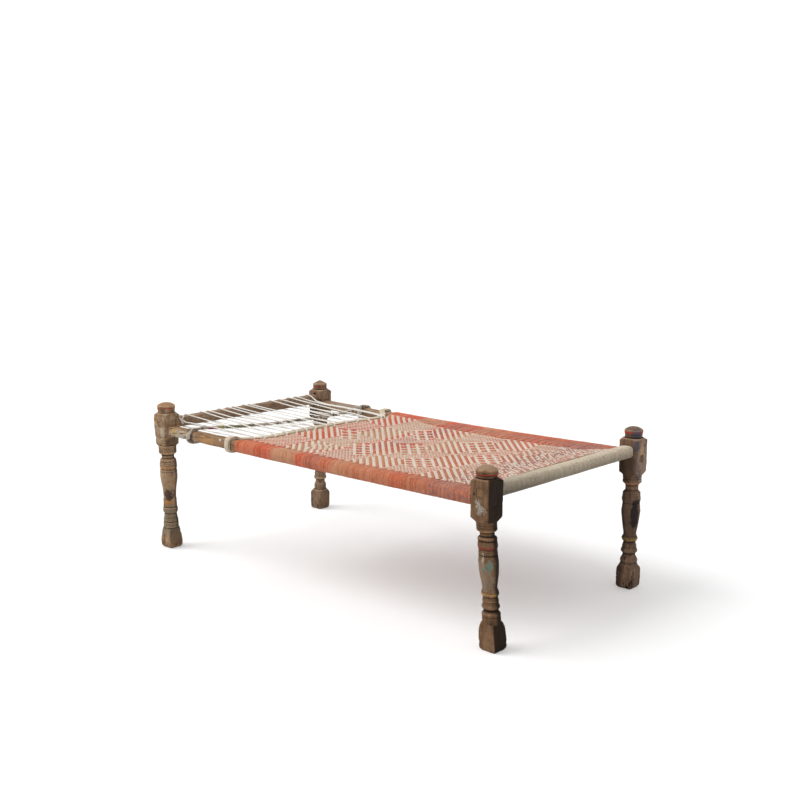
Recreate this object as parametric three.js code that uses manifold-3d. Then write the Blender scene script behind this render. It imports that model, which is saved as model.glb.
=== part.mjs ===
// A rope cot: four turned legs, four rails tenoned into them, a woven cord seat with cord
// wraps on three rails, two flat ropes across the foot end and a lacing that draws the seat tight.
// Millimetres, +Z up. X runs along the bed with the head at +X, Y runs across it.
import * as THREE from "three";
import Module from "manifold-3d";
import { mergeVertices } from "three/addons/utils/BufferGeometryUtils.js";

// Overall sizes
const LEG_HEIGHT = 620;
const LEG_SPAN_LENGTH = 1703.2;
const LEG_SPAN_WIDTH = 878.3;
const BLOCK_SIDE = 70.2;
const GAP = 0.3;
const CUT_OVERRUN = 20;
const WELD_DISTANCE = 0.0001;

// Rails and their tenons
const SIDE_RAIL_WIDTH = 46;
const SIDE_RAIL_HEIGHT = 40;
const END_RAIL_WIDTH = 47;
const HEAD_RAIL_HEIGHT = 35;
const FOOT_RAIL_HEIGHT = 42;
const RAIL_CORNER = 11;
const SIDE_RAIL_CENTRE_SHARE = 0.818;
const HEAD_RAIL_CENTRE_SHARE = 0.8553;
const FOOT_RAIL_RISE = 3;
const FOOT_RAIL_CROWN = 1;
const TENON_WIDTH = 26;
const TENON_MEETING_SHARE = 0.8351;
const TENON_WALL = 5.5;
const TENON_SHOULDER = 1.5;
const TENON_SET_BACK = 1.2;
const TENON_CORNER = 2;
const RAIL_STEPS = 12;

// How much lower the middle of each side has come to hang
const SETTLE_NEAR = 3;
const SETTLE_FAR = 10;

// Cord wraps on the rails
const WRAP_THICKNESS = 4.5;
const WRAP_WAVE = 0.8;
const WRAP_STEPS = 14;
const WRAP_WAVE_TURNS = [0.371, 0.199];
const WRAP_END_CLEARANCE = 7;
const NEAR_WRAP_START_SHARE = 0.281;
const FAR_WRAP_START_SHARE = 0.2816;

// Flat ropes across the foot end
const ROPE_THICKNESS = 12;
const ROPE_WIDTH = 27;
const BORDER_DOUBLE_WIDTH = 42;
const CROSS_INNER_WIDTH = 22;
const ROPE_END_CLEARANCE = 1;
const CROSS_ROPE_LIFT = 9;
const ROPE_SECTION_ANGLES = [0, 40, 90, 140, 180, 220, 270, 320];
const SLOPE_STEP = 5;

// Lacing cord
const CORD_DIAMETER = 5.5;
const CORD_SIDES = 6;
const HITCH_TURNS = 1.25;
const HITCH_PITCH = 9;
const HITCH_CLEARANCE = 1;
const HITCH_DISTANCE = 15;
const HITCH_STEPS_PER_TURN = 12;
const CORD_ALLOWANCE = 0.1;
const BORDER_TURN_SLACK = 0.5;
const STEEP_ANGLE = 80;
const PAIR_SPACING = 8;
const LAST_TURN_STEP = 14;
const GAP_STEPS = 12;

// Woven seat
const SEAT_THICKNESS = 6;
const SEAT_SAG = 17;
const SEAT_EDGE_DROP = 3;
const SEAT_HEAD_CLIMB_LENGTH = 150;
const SEAT_CORNER_REACH = 8;
const SEAT_EDGE_SLACK = 1.8;
const SEAT_STEPS_LENGTH = 24;

const WOOD_ROUGHNESS = 0.75;
const CORD_ROUGHNESS = 0.95;

// Each row of a leg's outline: height as a share of the leg, half width as a share of the
// block's side, and how square the section is, from 0 for round to 1 for square.
const HEAD_NEAR_LEG_SHARES = [
  [0, 0.37, 1],
  [0.008, 0.43, 1],
  [0.02, 0.455, 1],
  [0.07, 0.465, 1],
  [0.105, 0.452, 1],
  [0.13, 0.43, 1],
  [0.142, 0.416, 0.8],
  [0.151, 0.438, 0.2],
  [0.157, 0.45, 0],
  [0.163, 0.442, 0],
  [0.205, 0.44, 0],
  [0.2115, 0.405, 0],
  [0.2224, 0.343, 0],
  [0.228, 0.354, 0],
  [0.2335, 0.391, 0],
  [0.242, 0.422, 0],
  [0.25, 0.41, 0],
  [0.256, 0.382, 0],
  [0.263, 0.37, 0],
  [0.275, 0.381, 0],
  [0.282, 0.373, 0],
  [0.291, 0.35, 0],
  [0.2985, 0.357, 0],
  [0.304, 0.381, 0],
  [0.312, 0.415, 0],
  [0.3205, 0.414, 0],
  [0.331, 0.384, 0],
  [0.342, 0.355, 0],
  [0.369, 0.378, 0],
  [0.413, 0.434, 0],
  [0.435, 0.453, 0],
  [0.468, 0.469, 0],
  [0.49, 0.472, 0],
  [0.505, 0.459, 0],
  [0.521, 0.448, 0],
  [0.537, 0.446, 0],
  [0.55, 0.438, 0],
  [0.563, 0.456, 0],
  [0.579, 0.472, 0],
  [0.59, 0.455, 0],
  [0.6, 0.446, 0],
  [0.611, 0.453, 0],
  [0.618, 0.44, 0],
  [0.6235, 0.375, 0],
  [0.63, 0.342, 0],
  [0.647, 0.342, 0],
  [0.653, 0.43, 0],
  [0.66, 0.482, 0],
  [0.69, 0.484, 0],
  [0.708, 0.505, 0],
  [0.7145, 0.51, 0],
];
const HEAD_FAR_LEG_SHARES = [
  [0, 0.38, 1],
  [0.008, 0.44, 1],
  [0.02, 0.466, 1],
  [0.06, 0.474, 1],
  [0.115, 0.476, 1],
  [0.126, 0.455, 1],
  [0.133, 0.42, 0.8],
  [0.139, 0.46, 0.2],
  [0.148, 0.474, 0],
  [0.161, 0.444, 0],
  [0.173, 0.459, 0],
  [0.18, 0.452, 0],
  [0.192, 0.395, 0],
  [0.203, 0.345, 0],
  [0.213, 0.333, 0],
  [0.218, 0.348, 0],
  [0.2235, 0.405, 0],
  [0.229, 0.437, 0],
  [0.237, 0.436, 0],
  [0.248, 0.395, 0],
  [0.267, 0.375, 0],
  [0.28, 0.331, 0],
  [0.287, 0.325, 0],
  [0.2985, 0.4, 0],
  [0.308, 0.428, 0],
  [0.317, 0.408, 0],
  [0.33, 0.352, 0],
  [0.3365, 0.343, 0],
  [0.3486, 0.352, 0],
  [0.38, 0.399, 0],
  [0.4175, 0.445, 0],
  [0.455, 0.484, 0],
  [0.474, 0.502, 0],
  [0.483, 0.505, 0],
  [0.499, 0.486, 0],
  [0.51, 0.485, 0],
  [0.522, 0.464, 0],
  [0.531, 0.464, 0],
  [0.549, 0.501, 0],
  [0.557, 0.501, 0],
  [0.58, 0.471, 0],
  [0.593, 0.479, 0],
  [0.599, 0.43, 0],
  [0.607, 0.37, 0],
  [0.613, 0.342, 0],
  [0.636, 0.342, 0],
  [0.649, 0.413, 0],
  [0.656, 0.487, 0],
  [0.662, 0.502, 0],
  [0.674, 0.497, 0],
  [0.7145, 0.522, 0],
];
const FOOT_NEAR_LEG_SHARES = [
  [0, 0.36, 1],
  [0.008, 0.42, 1],
  [0.024, 0.455, 1],
  [0.044, 0.461, 1],
  [0.07, 0.447, 1],
  [0.113, 0.4, 1],
  [0.128, 0.376, 1],
  [0.14, 0.385, 0.5],
  [0.148, 0.445, 0],
  [0.1625, 0.443, 0],
  [0.17, 0.452, 0],
  [0.19, 0.437, 0],
  [0.218, 0.392, 0],
  [0.225, 0.382, 0],
  [0.239, 0.389, 0],
  [0.246, 0.404, 0],
  [0.253, 0.429, 0],
  [0.26, 0.441, 0],
  [0.274, 0.441, 0],
  [0.288, 0.414, 0],
  [0.3, 0.398, 0],
  [0.3225, 0.39, 0],
  [0.3365, 0.397, 0],
  [0.35, 0.37, 0],
  [0.378, 0.383, 0],
  [0.406, 0.4, 0],
  [0.434, 0.435, 0],
  [0.462, 0.476, 0],
  [0.484, 0.498, 0],
  [0.504, 0.508, 0],
  [0.518, 0.502, 0],
  [0.539, 0.506, 0],
  [0.5455, 0.488, 0],
  [0.5525, 0.484, 0],
  [0.5665, 0.509, 0],
  [0.587, 0.506, 0],
  [0.594, 0.492, 0],
  [0.6115, 0.474, 0],
  [0.619, 0.422, 0],
  [0.628, 0.366, 0],
  [0.643, 0.363, 0],
  [0.65, 0.396, 0],
  [0.657, 0.482, 0],
  [0.664, 0.52, 0],
  [0.685, 0.518, 0],
  [0.7145, 0.53, 0],
  [0.716, 0.45, 1],
  [0.728, 0.482, 1],
  [0.92, 0.54, 1],
  [0.935, 0.51, 0.8],
  [0.95, 0.49, 0.2],
  [0.958, 0.506, 0],
  [0.968, 0.521, 0],
  [0.982, 0.524, 0],
  [0.993, 0.4, 0],
  [1.001, 0.24, 0],
  [1.006, 0.05, 0],
];
const FOOT_FAR_HOOF_SHARES = [
  [0, 0.37, 1],
  [0.008, 0.43, 1],
  [0.02, 0.446, 1],
  [0.06, 0.459, 1],
  [0.122, 0.462, 1],
  [0.132, 0.45, 1],
  [0.142, 0.4, 0.5],
  [0.15, 0.42, 0],
  [0.157, 0.402, 0],
  [0.189, 0.4, 0],
  [0.197, 0.37, 0],
  [0.213, 0.311, 0],
  [0.229, 0.303, 0],
];
const BLOCK_SHARES = [
  [0.716, 0.495, 1],
  [0.722, 0.527, 1],
  [0.911, 0.536, 1],
  [0.9198, 0.505, 1],
];
const ROUND_CAP_SHARES = [
  [0.927, 0.478, 0],
  [0.945, 0.478, 0],
  [0.953, 0.5, 0],
  [0.966, 0.52, 0],
  [0.972, 0.518, 0],
  [0.986, 0.38, 0],
  [0.995, 0.21, 0],
  [1, 0.04, 0],
];
const POINTED_CAP_SHARES = [
  [0.927, 0.482, 0],
  [0.94, 0.462, 0],
  [0.956, 0.452, 0],
  [0.963, 0.466, 0],
  [0.972, 0.462, 0],
  [0.985, 0.27, 0],
  [0.993, 0.14, 0],
  [1, 0.04, 0],
];
const SECTION_ANGLES = [10, 38, 52, 80, 100, 128, 142, 170, 190, 218, 232, 260, 280, 308, 322, 350];
const BLOCK_BOTTOM_SHARE = 0.716;
const FOOT_FAR_HOOF_TOP_SHARE = 0.229;

// How far each foot stands from the spot straight below its block, as shares of the leg.
const LEGS = {
  leg_head_near: {
    endward: 1, across: -1, footShiftShares: [0.0203, 0.0458],
    rows: [...HEAD_NEAR_LEG_SHARES, ...BLOCK_SHARES, ...ROUND_CAP_SHARES],
    colour: 0x6b5140,
  },
  leg_head_far: {
    endward: 1, across: 1, footShiftShares: [0.001, -0.0147],
    rows: [...HEAD_FAR_LEG_SHARES, ...BLOCK_SHARES, ...ROUND_CAP_SHARES],
    colour: 0x5d4c42,
  },
  leg_foot_near: {
    endward: -1, across: -1, footShiftShares: [-0.0021, 0.013], rows: FOOT_NEAR_LEG_SHARES,
    colour: 0x8a6f54,
  },
  leg_foot_far: {
    endward: -1, across: 1, footShiftShares: [-0.0027, -0.009],
    rows: [
      ...FOOT_FAR_HOOF_SHARES,
      ...HEAD_NEAR_LEG_SHARES.filter(([height]) => height > FOOT_FAR_HOOF_TOP_SHARE),
      ...BLOCK_SHARES,
      ...POINTED_CAP_SHARES,
    ],
    colour: 0x66503f,
  },
};

// Places of the lacing's strands across the bed, as shares of half the width between legs.
const HITCHED_LEG_SHARE = -0.898;
const RAIL_STRAND_SHARES = [
  -0.833, -0.772, -0.577, -0.501, -0.36, -0.25, -0.186,
  -0.044, 0.008, 0.308, 0.424, 0.558, 0.654, 0.824,
];
const BORDER_STRAND_SHARES = [
  -0.845, -0.765, -0.66, -0.527, -0.404, -0.285, -0.17,
  -0.04, 0.064, 0.232, 0.373, 0.514, 0.692, 0.73,
];
const FIRST_RETURN_BORDER_SHARE = -0.885;
const RETURN_STEP_SHARE = 0.4;
const LEAST_RETURN_STEP = 9;
const NEAR_PULL_INWARD = 37;
const NEAR_PULL_ACROSS = 39;
const NEAR_PULL_ABOVE = 14;
const FAR_PULL_INWARD = 125;
const FAR_PULL_ACROSS = 137;
const FAR_PULL_ABOVE = 16;

// Places of the ropes along the bed, as shares of the span from the foot legs to the head legs.
// Each row of a bow: place across as a share of half the width, then the place along.
const BORDER_NEAR_LOOP_SHARE = 0.2552;
const BORDER_FAR_LOOP_SHARE = 0.2487;
const BORDER_BOW_SHARES = [
  [-0.93, 0.261],
  [-0.86, 0.2781],
  [-0.76, 0.2945],
  [-0.6, 0.3016],
  [-0.2, 0.3039],
  [0.2, 0.3109],
  [0.6, 0.3174],
  [0.7, 0.3133],
  [0.78, 0.2992],
  [0.86, 0.2781],
  [0.93, 0.2581],
];
const BORDER_WIDTHS = [
  [-0.8, ROPE_WIDTH],
  [-0.66, BORDER_DOUBLE_WIDTH],
  [0, BORDER_DOUBLE_WIDTH],
  [0.3, ROPE_WIDTH],
];
const CROSS_NEAR_LOOP_SHARE = 0.1107;
const CROSS_FAR_LOOP_SHARE = 0.1724;
const CROSS_BOW_SHARES = [
  [-0.93, 0.1154],
  [-0.84, 0.1313],
  [-0.64, 0.1642],
  [-0.4, 0.1876],
  [-0.14, 0.2064],
  [0.23, 0.224],
  [0.5, 0.2205],
  [0.7, 0.2041],
  [0.84, 0.1876],
  [0.93, 0.1783],
];
const CROSS_WIDTHS = [
  [-1, ROPE_WIDTH],
  [-0.8, CROSS_INNER_WIDTH],
  [0.8, CROSS_INNER_WIDTH],
  [1, ROPE_WIDTH],
];

const wasm = await Module();
wasm.setup();

const HALF_LENGTH = LEG_SPAN_LENGTH / 2;
const HALF_WIDTH = LEG_SPAN_WIDTH / 2;
const CORD_RADIUS = CORD_DIAMETER / 2;
const SIDE_RAIL_CENTRE = LEG_HEIGHT * SIDE_RAIL_CENTRE_SHARE;
const SIDE_RAIL_TOP = SIDE_RAIL_CENTRE + SIDE_RAIL_HEIGHT / 2;
const HEAD_RAIL_CENTRE = LEG_HEIGHT * HEAD_RAIL_CENTRE_SHARE;
const FOOT_RAIL_CENTRE = HEAD_RAIL_CENTRE + FOOT_RAIL_RISE;
const SEAT_EDGE_TOP = SIDE_RAIL_TOP + WRAP_THICKNESS - SEAT_EDGE_DROP;
const HEAD_RAIL_TOP = HEAD_RAIL_CENTRE + HEAD_RAIL_HEIGHT / 2;
const SEAT_HEAD_TOP = HEAD_RAIL_TOP + WRAP_THICKNESS - SEAT_EDGE_DROP;
const BORDER_CENTRE_HEIGHT = SEAT_EDGE_TOP - SEAT_THICKNESS / 2;

// Lower and upper edge of the tenons: those of the side rails pass under those of the end rails.
const TENON_MEETING = LEG_HEIGHT * TENON_MEETING_SHARE;
const SIDE_TENON = [SIDE_RAIL_TOP - SIDE_RAIL_HEIGHT + TENON_SHOULDER, TENON_MEETING - TENON_WALL / 2];
const END_TENON = [TENON_MEETING + TENON_WALL / 2, HEAD_RAIL_TOP - TENON_SHOULDER];

const radians = (degrees) => (degrees * Math.PI) / 180;
const mix = (from, to, share) => from + (to - from) * share;

const placeAlong = (share) => mix(-HALF_LENGTH, HALF_LENGTH, share);

// Straight-line look-up in rows of [place, value].
function valueAt(rows, place) {
  if (place <= rows[0][0]) return rows[0][1];
  for (let i = 1; i < rows.length; i++) {
    const [before, valueBefore] = rows[i - 1];
    const [after, valueAfter] = rows[i];
    if (place <= after) return mix(valueBefore, valueAfter, (place - before) / (after - before));
  }
  return rows[rows.length - 1][1];
}

function solidFromGeometry(geometry) {
  const bare = geometry.clone();
  bare.deleteAttribute("normal");
  bare.deleteAttribute("uv");
  const merged = mergeVertices(bare, WELD_DISTANCE);
  return new wasm.Manifold(
    new wasm.Mesh({
      numProp: 3,
      vertProperties: merged.attributes.position.array,
      triVerts: new Uint32Array(merged.index.array),
    }),
  );
}

function geometryFromSolid(solid) {
  const mesh = solid.getMesh();
  const positions = new Float32Array(mesh.numVert * 3);
  for (let i = 0; i < mesh.numVert; i++) {
    positions.set(mesh.vertProperties.subarray(i * mesh.numProp, i * mesh.numProp + 3), i * 3);
  }
  const geometry = new THREE.BufferGeometry();
  geometry.setAttribute("position", new THREE.BufferAttribute(positions, 3));
  geometry.setIndex(new THREE.BufferAttribute(mesh.triVerts, 1));
  geometry.computeVertexNormals();
  return geometry;
}

// The two ends of a loft are flat outlines, filled in the plane of their two widest axes.
function fillOutline(ring, firstIndex, faces) {
  const size = new THREE.Box3().setFromPoints(ring).getSize(new THREE.Vector3());
  const axes = ["x", "y", "z"].sort((a, b) => size[b] - size[a]);
  const outline = ring.map((p) => new THREE.Vector2(p[axes[0]], p[axes[1]]));
  const turned = THREE.ShapeUtils.isClockWise(outline);
  const order = ring.map((_, i) => (turned ? ring.length - 1 - i : i));
  const triangles = THREE.ShapeUtils.triangulateShape(
    order.map((i) => outline[i]),
    [],
  );
  for (const triangle of triangles) {
    const [a, b, c] = triangle.map((i) => firstIndex + order[i]);
    faces.push(turned ? [c, b, a] : [a, b, c]);
  }
}

// A closed body through a row of outlines that all have the same number of points.
function loft(rings) {
  const count = rings[0].length;
  const positions = rings.flat().flatMap((p) => [p.x, p.y, p.z]);
  const faces = [];
  for (let r = 0; r + 1 < rings.length; r++) {
    for (let i = 0; i < count; i++) {
      const a = r * count + i;
      const b = r * count + ((i + 1) % count);
      faces.push([a, b, b + count], [a, b + count, a + count]);
    }
  }
  const startFaces = [];
  fillOutline(rings[0], 0, startFaces);
  const endFaces = [];
  fillOutline(rings[rings.length - 1], (rings.length - 1) * count, endFaces);
  faces.push(...startFaces.map(([a, b, c]) => [c, b, a]), ...endFaces);
  const geometry = new THREE.BufferGeometry();
  geometry.setAttribute("position", new THREE.Float32BufferAttribute(positions, 3));
  geometry.setIndex(faces.flat());
  const solid = solidFromGeometry(geometry);
  if (solid.volume() > 0) return solid;
  geometry.setIndex(faces.flatMap(([a, b, c]) => [c, b, a]));
  return solidFromGeometry(geometry);
}

// Points of a rounded rectangle about its middle: [sideways, upward].
function roundedOutline(halfWide, halfTall, corner) {
  const points = [];
  for (const [side, up, start] of [[1, 1, 0], [-1, 1, 90], [-1, -1, 180], [1, -1, 270]]) {
    for (const turn of [0, 45, 90]) {
      const angle = radians(start + turn);
      points.push([
        side * (halfWide - corner) + corner * Math.cos(angle),
        up * (halfTall - corner) + corner * Math.sin(angle),
      ]);
    }
  }
  return points;
}

// A bar with a rounded section along X or Y, whose section may change from place to place.
function bar(axis, stations) {
  return loft(
    stations.map(({ at, halfWide, halfTall, corner, middle, height }) =>
      roundedOutline(halfWide, halfTall, corner).map(([side, up]) =>
        axis === "x"
          ? new THREE.Vector3(at, middle + side, height + up)
          : new THREE.Vector3(middle + side, at, height + up),
      ),
    ),
  );
}

function sectionReach(half, squareness, degrees) {
  const cosine = Math.abs(Math.cos(radians(degrees)));
  const sine = Math.abs(Math.sin(radians(degrees)));
  return mix(half, half / Math.max(cosine, sine), squareness);
}

function legBody(name, growth) {
  const { endward, across, footShiftShares, rows } = LEGS[name];
  const blockBottom = BLOCK_BOTTOM_SHARE * LEG_HEIGHT;
  return loft(
    rows.map(([heightShare, halfShare, squareness]) => {
      const height = heightShare * LEG_HEIGHT;
      const half = halfShare * BLOCK_SIDE + growth;
      const lean = LEG_HEIGHT * Math.max(0, 1 - height / blockBottom);
      return SECTION_ANGLES.map((degrees) => {
        const reach = sectionReach(half, squareness, degrees);
        return new THREE.Vector3(
          endward * HALF_LENGTH + footShiftShares[0] * lean + reach * Math.cos(radians(degrees)),
          across * HALF_WIDTH + footShiftShares[1] * lean + reach * Math.sin(radians(degrees)),
          height,
        );
      });
    }),
  );
}

// Half the block's side at a height.
function blockHalf(name, height) {
  const rows = LEGS[name].rows
    .filter((row) => row[2] === 1 && row[0] >= BLOCK_BOTTOM_SHARE)
    .map(([heightShare, halfShare]) => [heightShare * LEG_HEIGHT, halfShare * BLOCK_SIDE]);
  return valueAt(rows, height);
}

const RAILS = {
  side_rail_near: {
    axis: "x", middle: -HALF_WIDTH, centre: SIDE_RAIL_CENTRE, tenon: SIDE_TENON,
    width: SIDE_RAIL_WIDTH, height: SIDE_RAIL_HEIGHT, crown: 0, ends: ["leg_foot_near", "leg_head_near"],
    colour: 0x8f6f50,
  },
  side_rail_far: {
    axis: "x", middle: HALF_WIDTH, centre: SIDE_RAIL_CENTRE, tenon: SIDE_TENON,
    width: SIDE_RAIL_WIDTH, height: SIDE_RAIL_HEIGHT, crown: 0, ends: ["leg_foot_far", "leg_head_far"],
    colour: 0x84664b,
  },
  head_rail: {
    axis: "y", middle: HALF_LENGTH, centre: HEAD_RAIL_CENTRE, tenon: END_TENON,
    width: END_RAIL_WIDTH, height: HEAD_RAIL_HEIGHT, crown: 0, ends: ["leg_head_near", "leg_head_far"],
    colour: 0x5f4937,
  },
  foot_rail: {
    axis: "y", middle: -HALF_LENGTH, centre: FOOT_RAIL_CENTRE, tenon: END_TENON,
    width: END_RAIL_WIDTH, height: FOOT_RAIL_HEIGHT, crown: FOOT_RAIL_CROWN,
    ends: ["leg_foot_near", "leg_foot_far"], colour: 0x8c6b50,
  },
};

function halfSpan(rail) {
  return rail.axis === "x" ? HALF_LENGTH : HALF_WIDTH;
}

// Height of a rail's middle at a place along it; a bowed rail rises towards the middle.
function railHeight(rail, place) {
  const share = place / halfSpan(rail);
  return rail.centre + rail.crown * (1 - share * share);
}

function railStations(rail, from, to, steps, growth) {
  return Array.from({ length: steps + 1 }, (_, i) => {
    const at = mix(from, to, i / steps);
    return {
      at,
      halfWide: rail.width / 2 + growth,
      halfTall: rail.height / 2 + growth,
      corner: RAIL_CORNER + growth,
      middle: rail.middle,
      height: railHeight(rail, at),
    };
  });
}

function tenonBar(rail, growth, lengthGrowth) {
  const [bottom, top] = rail.tenon;
  const height = (bottom + top) / 2;
  const [first, last] = rail.ends.map((leg) => blockHalf(leg, height) - TENON_SET_BACK + lengthGrowth);
  return bar(rail.axis, [-halfSpan(rail) - first, halfSpan(rail) + last].map((at) => ({
    at,
    halfWide: TENON_WIDTH / 2 + growth,
    halfTall: (top - bottom) / 2 + growth,
    corner: TENON_CORNER,
    middle: rail.middle,
    height,
  })));
}

function railSolid(rail) {
  const span = halfSpan(rail);
  let body = bar(rail.axis, railStations(rail, -span, span, RAIL_STEPS, 0));
  for (const leg of rail.ends) body = body.subtract(legBody(leg, GAP));
  const largest = body.decompose().sort((a, b) => b.volume() - a.volume())[0];
  const inner = span - BLOCK_SIDE;
  const tenon = tenonBar(rail, 0, 0);
  const spare = bar(rail.axis, [-inner, inner].map((at) => ({
    at,
    halfWide: rail.width,
    halfTall: rail.height * 2,
    corner: TENON_CORNER,
    middle: rail.middle,
    height: rail.centre,
  })));
  return largest.add(tenon.subtract(spare));
}

// Solids of the legs, with a through mortise for each rail that enters them.
function legSolid(name) {
  let body = legBody(name, 0);
  for (const rail of Object.values(RAILS)) {
    if (rail.ends.includes(name)) body = body.subtract(tenonBar(rail, GAP, CUT_OVERRUN));
  }
  return body;
}

// A sleeve of cord on a rail, with the gentle unevenness of hand winding.
function wrapOuter(rail, from, to, growth) {
  const stations = railStations(rail, from, to, WRAP_STEPS, GAP + WRAP_THICKNESS + growth);
  return stations.map((station, i) => {
    const [quick, slow] = WRAP_WAVE_TURNS.map((turns) => 2 * Math.PI * turns * i);
    const wave = WRAP_WAVE * Math.sin(quick) * Math.cos(slow);
    return { ...station, halfWide: station.halfWide + wave, halfTall: station.halfTall + wave };
  });
}

function wrapSolid(rail, from, to) {
  const hollow = railStations(rail, from - CUT_OVERRUN, to + CUT_OVERRUN, WRAP_STEPS, GAP);
  return bar(rail.axis, wrapOuter(rail, from, to, 0)).subtract(bar(rail.axis, hollow));
}

const sideWrapEnd = HALF_LENGTH - BLOCK_SIDE / 2 - WRAP_END_CLEARANCE;
const headWrapEnd = HALF_WIDTH - BLOCK_SIDE / 2 - WRAP_END_CLEARANCE;
const WRAPS = {
  side_wrap_near: {
    rail: RAILS.side_rail_near, from: placeAlong(NEAR_WRAP_START_SHARE), to: sideWrapEnd,
    colour: 0xb8563c,
  },
  side_wrap_far: {
    rail: RAILS.side_rail_far, from: placeAlong(FAR_WRAP_START_SHARE), to: sideWrapEnd,
    colour: 0xb8563c,
  },
  head_wrap: { rail: RAILS.head_rail, from: -headWrapEnd, to: headWrapEnd, colour: 0xbdb09a },
};

// A flat rope along a path: rings of eight points, thin along each point's outward direction.
function flatRope(path) {
  return loft(
    path.map(({ point, outward, width }, i) => {
      const before = path[Math.max(0, i - 1)].point;
      const after = path[Math.min(path.length - 1, i + 1)].point;
      const along = after.clone().sub(before).normalize();
      const sideways = new THREE.Vector3().crossVectors(outward, along).normalize();
      const away = new THREE.Vector3().crossVectors(along, sideways);
      return ROPE_SECTION_ANGLES.map((degrees) =>
        point
          .clone()
          .addScaledVector(sideways, (width / 2) * Math.cos(radians(degrees)))
          .addScaledVector(away, (ROPE_THICKNESS / 2) * Math.sin(radians(degrees))),
      );
    }),
  );
}

// Points at a distance outside a rounded bar's section, from corner to corner:
// [outward or inward, upward, angle of the way out].
function cornerPoints(bar, side, up, distance, angles) {
  return angles.map((degrees) => [
    side * (bar.width / 2 - RAIL_CORNER) + (RAIL_CORNER + distance) * Math.cos(radians(degrees)),
    up * (bar.height / 2 - RAIL_CORNER) + (RAIL_CORNER + distance) * Math.sin(radians(degrees)),
    degrees,
  ]);
}

// The loop round a side rail: over the top, down the outside, under and up the inner face.
function ropeLoop(across, alongBed) {
  const lift = GAP + ROPE_THICKNESS / 2;
  const rail = RAILS.side_rail_near;
  const points = [
    ...cornerPoints(rail, -1, 1, lift, [112.5, 90]),
    ...cornerPoints(rail, 1, 1, lift, [90, 67.5, 45, 22.5, 0]),
    ...cornerPoints(rail, 1, -1, lift, [0, -22.5, -45, -67.5, -90]),
    ...cornerPoints(rail, -1, -1, lift, [-90, -112.5, -135, -157.5, -180]),
  ];
  const stop = points[0][1] - ROPE_THICKNESS - GAP - ROPE_END_CLEARANCE;
  points.push([-(rail.width / 2 + lift), stop, -180]);
  return points.map(([outward, up, degrees]) => ({
    point: new THREE.Vector3(alongBed, across * (HALF_WIDTH + outward), SIDE_RAIL_CENTRE + up),
    outward: new THREE.Vector3(0, across * Math.cos(radians(degrees)), Math.sin(radians(degrees))),
    width: ROPE_WIDTH,
  }));
}

// Places across the bed where a rope bends or changes its width.
function bedShares({ bow, widths }) {
  const shares = new Set([...bow, ...widths].map(([share]) => share));
  return [...shares].filter((share) => Math.abs(share) <= bow[bow.length - 1][0]).sort((a, b) => a - b);
}

function ropePath({ nearLoop, farLoop, bow, height, widths }) {
  const bed = bedShares({ bow, widths }).map((share) => ({
    point: new THREE.Vector3(placeAlong(valueAt(bow, share)), share * HALF_WIDTH, height),
    outward: new THREE.Vector3(0, 0, 1),
    width: valueAt(widths, share),
  }));
  return [
    ...ropeLoop(-1, placeAlong(nearLoop)).reverse(),
    ...bed,
    ...ropeLoop(1, placeAlong(farLoop)),
  ];
}

const ROPES = {
  border_rope: {
    nearLoop: BORDER_NEAR_LOOP_SHARE, farLoop: BORDER_FAR_LOOP_SHARE, bow: BORDER_BOW_SHARES,
    height: BORDER_CENTRE_HEIGHT, widths: BORDER_WIDTHS, colour: 0xc9bda4,
  },
  cross_rope: {
    nearLoop: CROSS_NEAR_LOOP_SHARE, farLoop: CROSS_FAR_LOOP_SHARE, bow: CROSS_BOW_SHARES,
    height: SIDE_RAIL_TOP + CROSS_ROPE_LIFT, widths: CROSS_WIDTHS, colour: 0xb9aa8f,
  },
};

function alongBedOf(rope, across) {
  return placeAlong(valueAt(rope.bow, across / HALF_WIDTH));
}

// Half of a rope's reach along the bed, wider where it runs aslant.
function ropeReach(rope, across) {
  const before = alongBedOf(rope, across - SLOPE_STEP);
  const slope = (alongBedOf(rope, across + SLOPE_STEP) - before) / (2 * SLOPE_STEP);
  return (valueAt(rope.widths, across / HALF_WIDTH) / 2) * Math.hypot(1, slope);
}

// A tight strand bends over the cross rope, or under it, where its straight line would meet it.
function pastCrossRope(from, to, side) {
  const rope = ROPES.cross_rope;
  let share = 1 / 2;
  for (let i = 0; i < 4; i++) {
    const across = mix(from.y, to.y, share);
    share = (alongBedOf(rope, across) - from.x) / (to.x - from.x);
  }
  const point = from.clone().lerp(to, share);
  const clear = rope.height + side * (ROPE_THICKNESS / 2 + GAP + CORD_RADIUS + CORD_ALLOWANCE);
  if (side * (point.z - clear) >= 0) return [];
  point.z = clear;
  return [point];
}

// Angle at which a straight strand from a point leaves the foot rail's inner upper corner.
function leavingAngle(from, middle, radius) {
  const away = Math.atan2(from.z - middle.z, from.x - middle.x);
  const distance = Math.hypot(from.x - middle.x, from.z - middle.z);
  return ((away + Math.acos(radius / distance)) * 180) / Math.PI;
}

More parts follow.
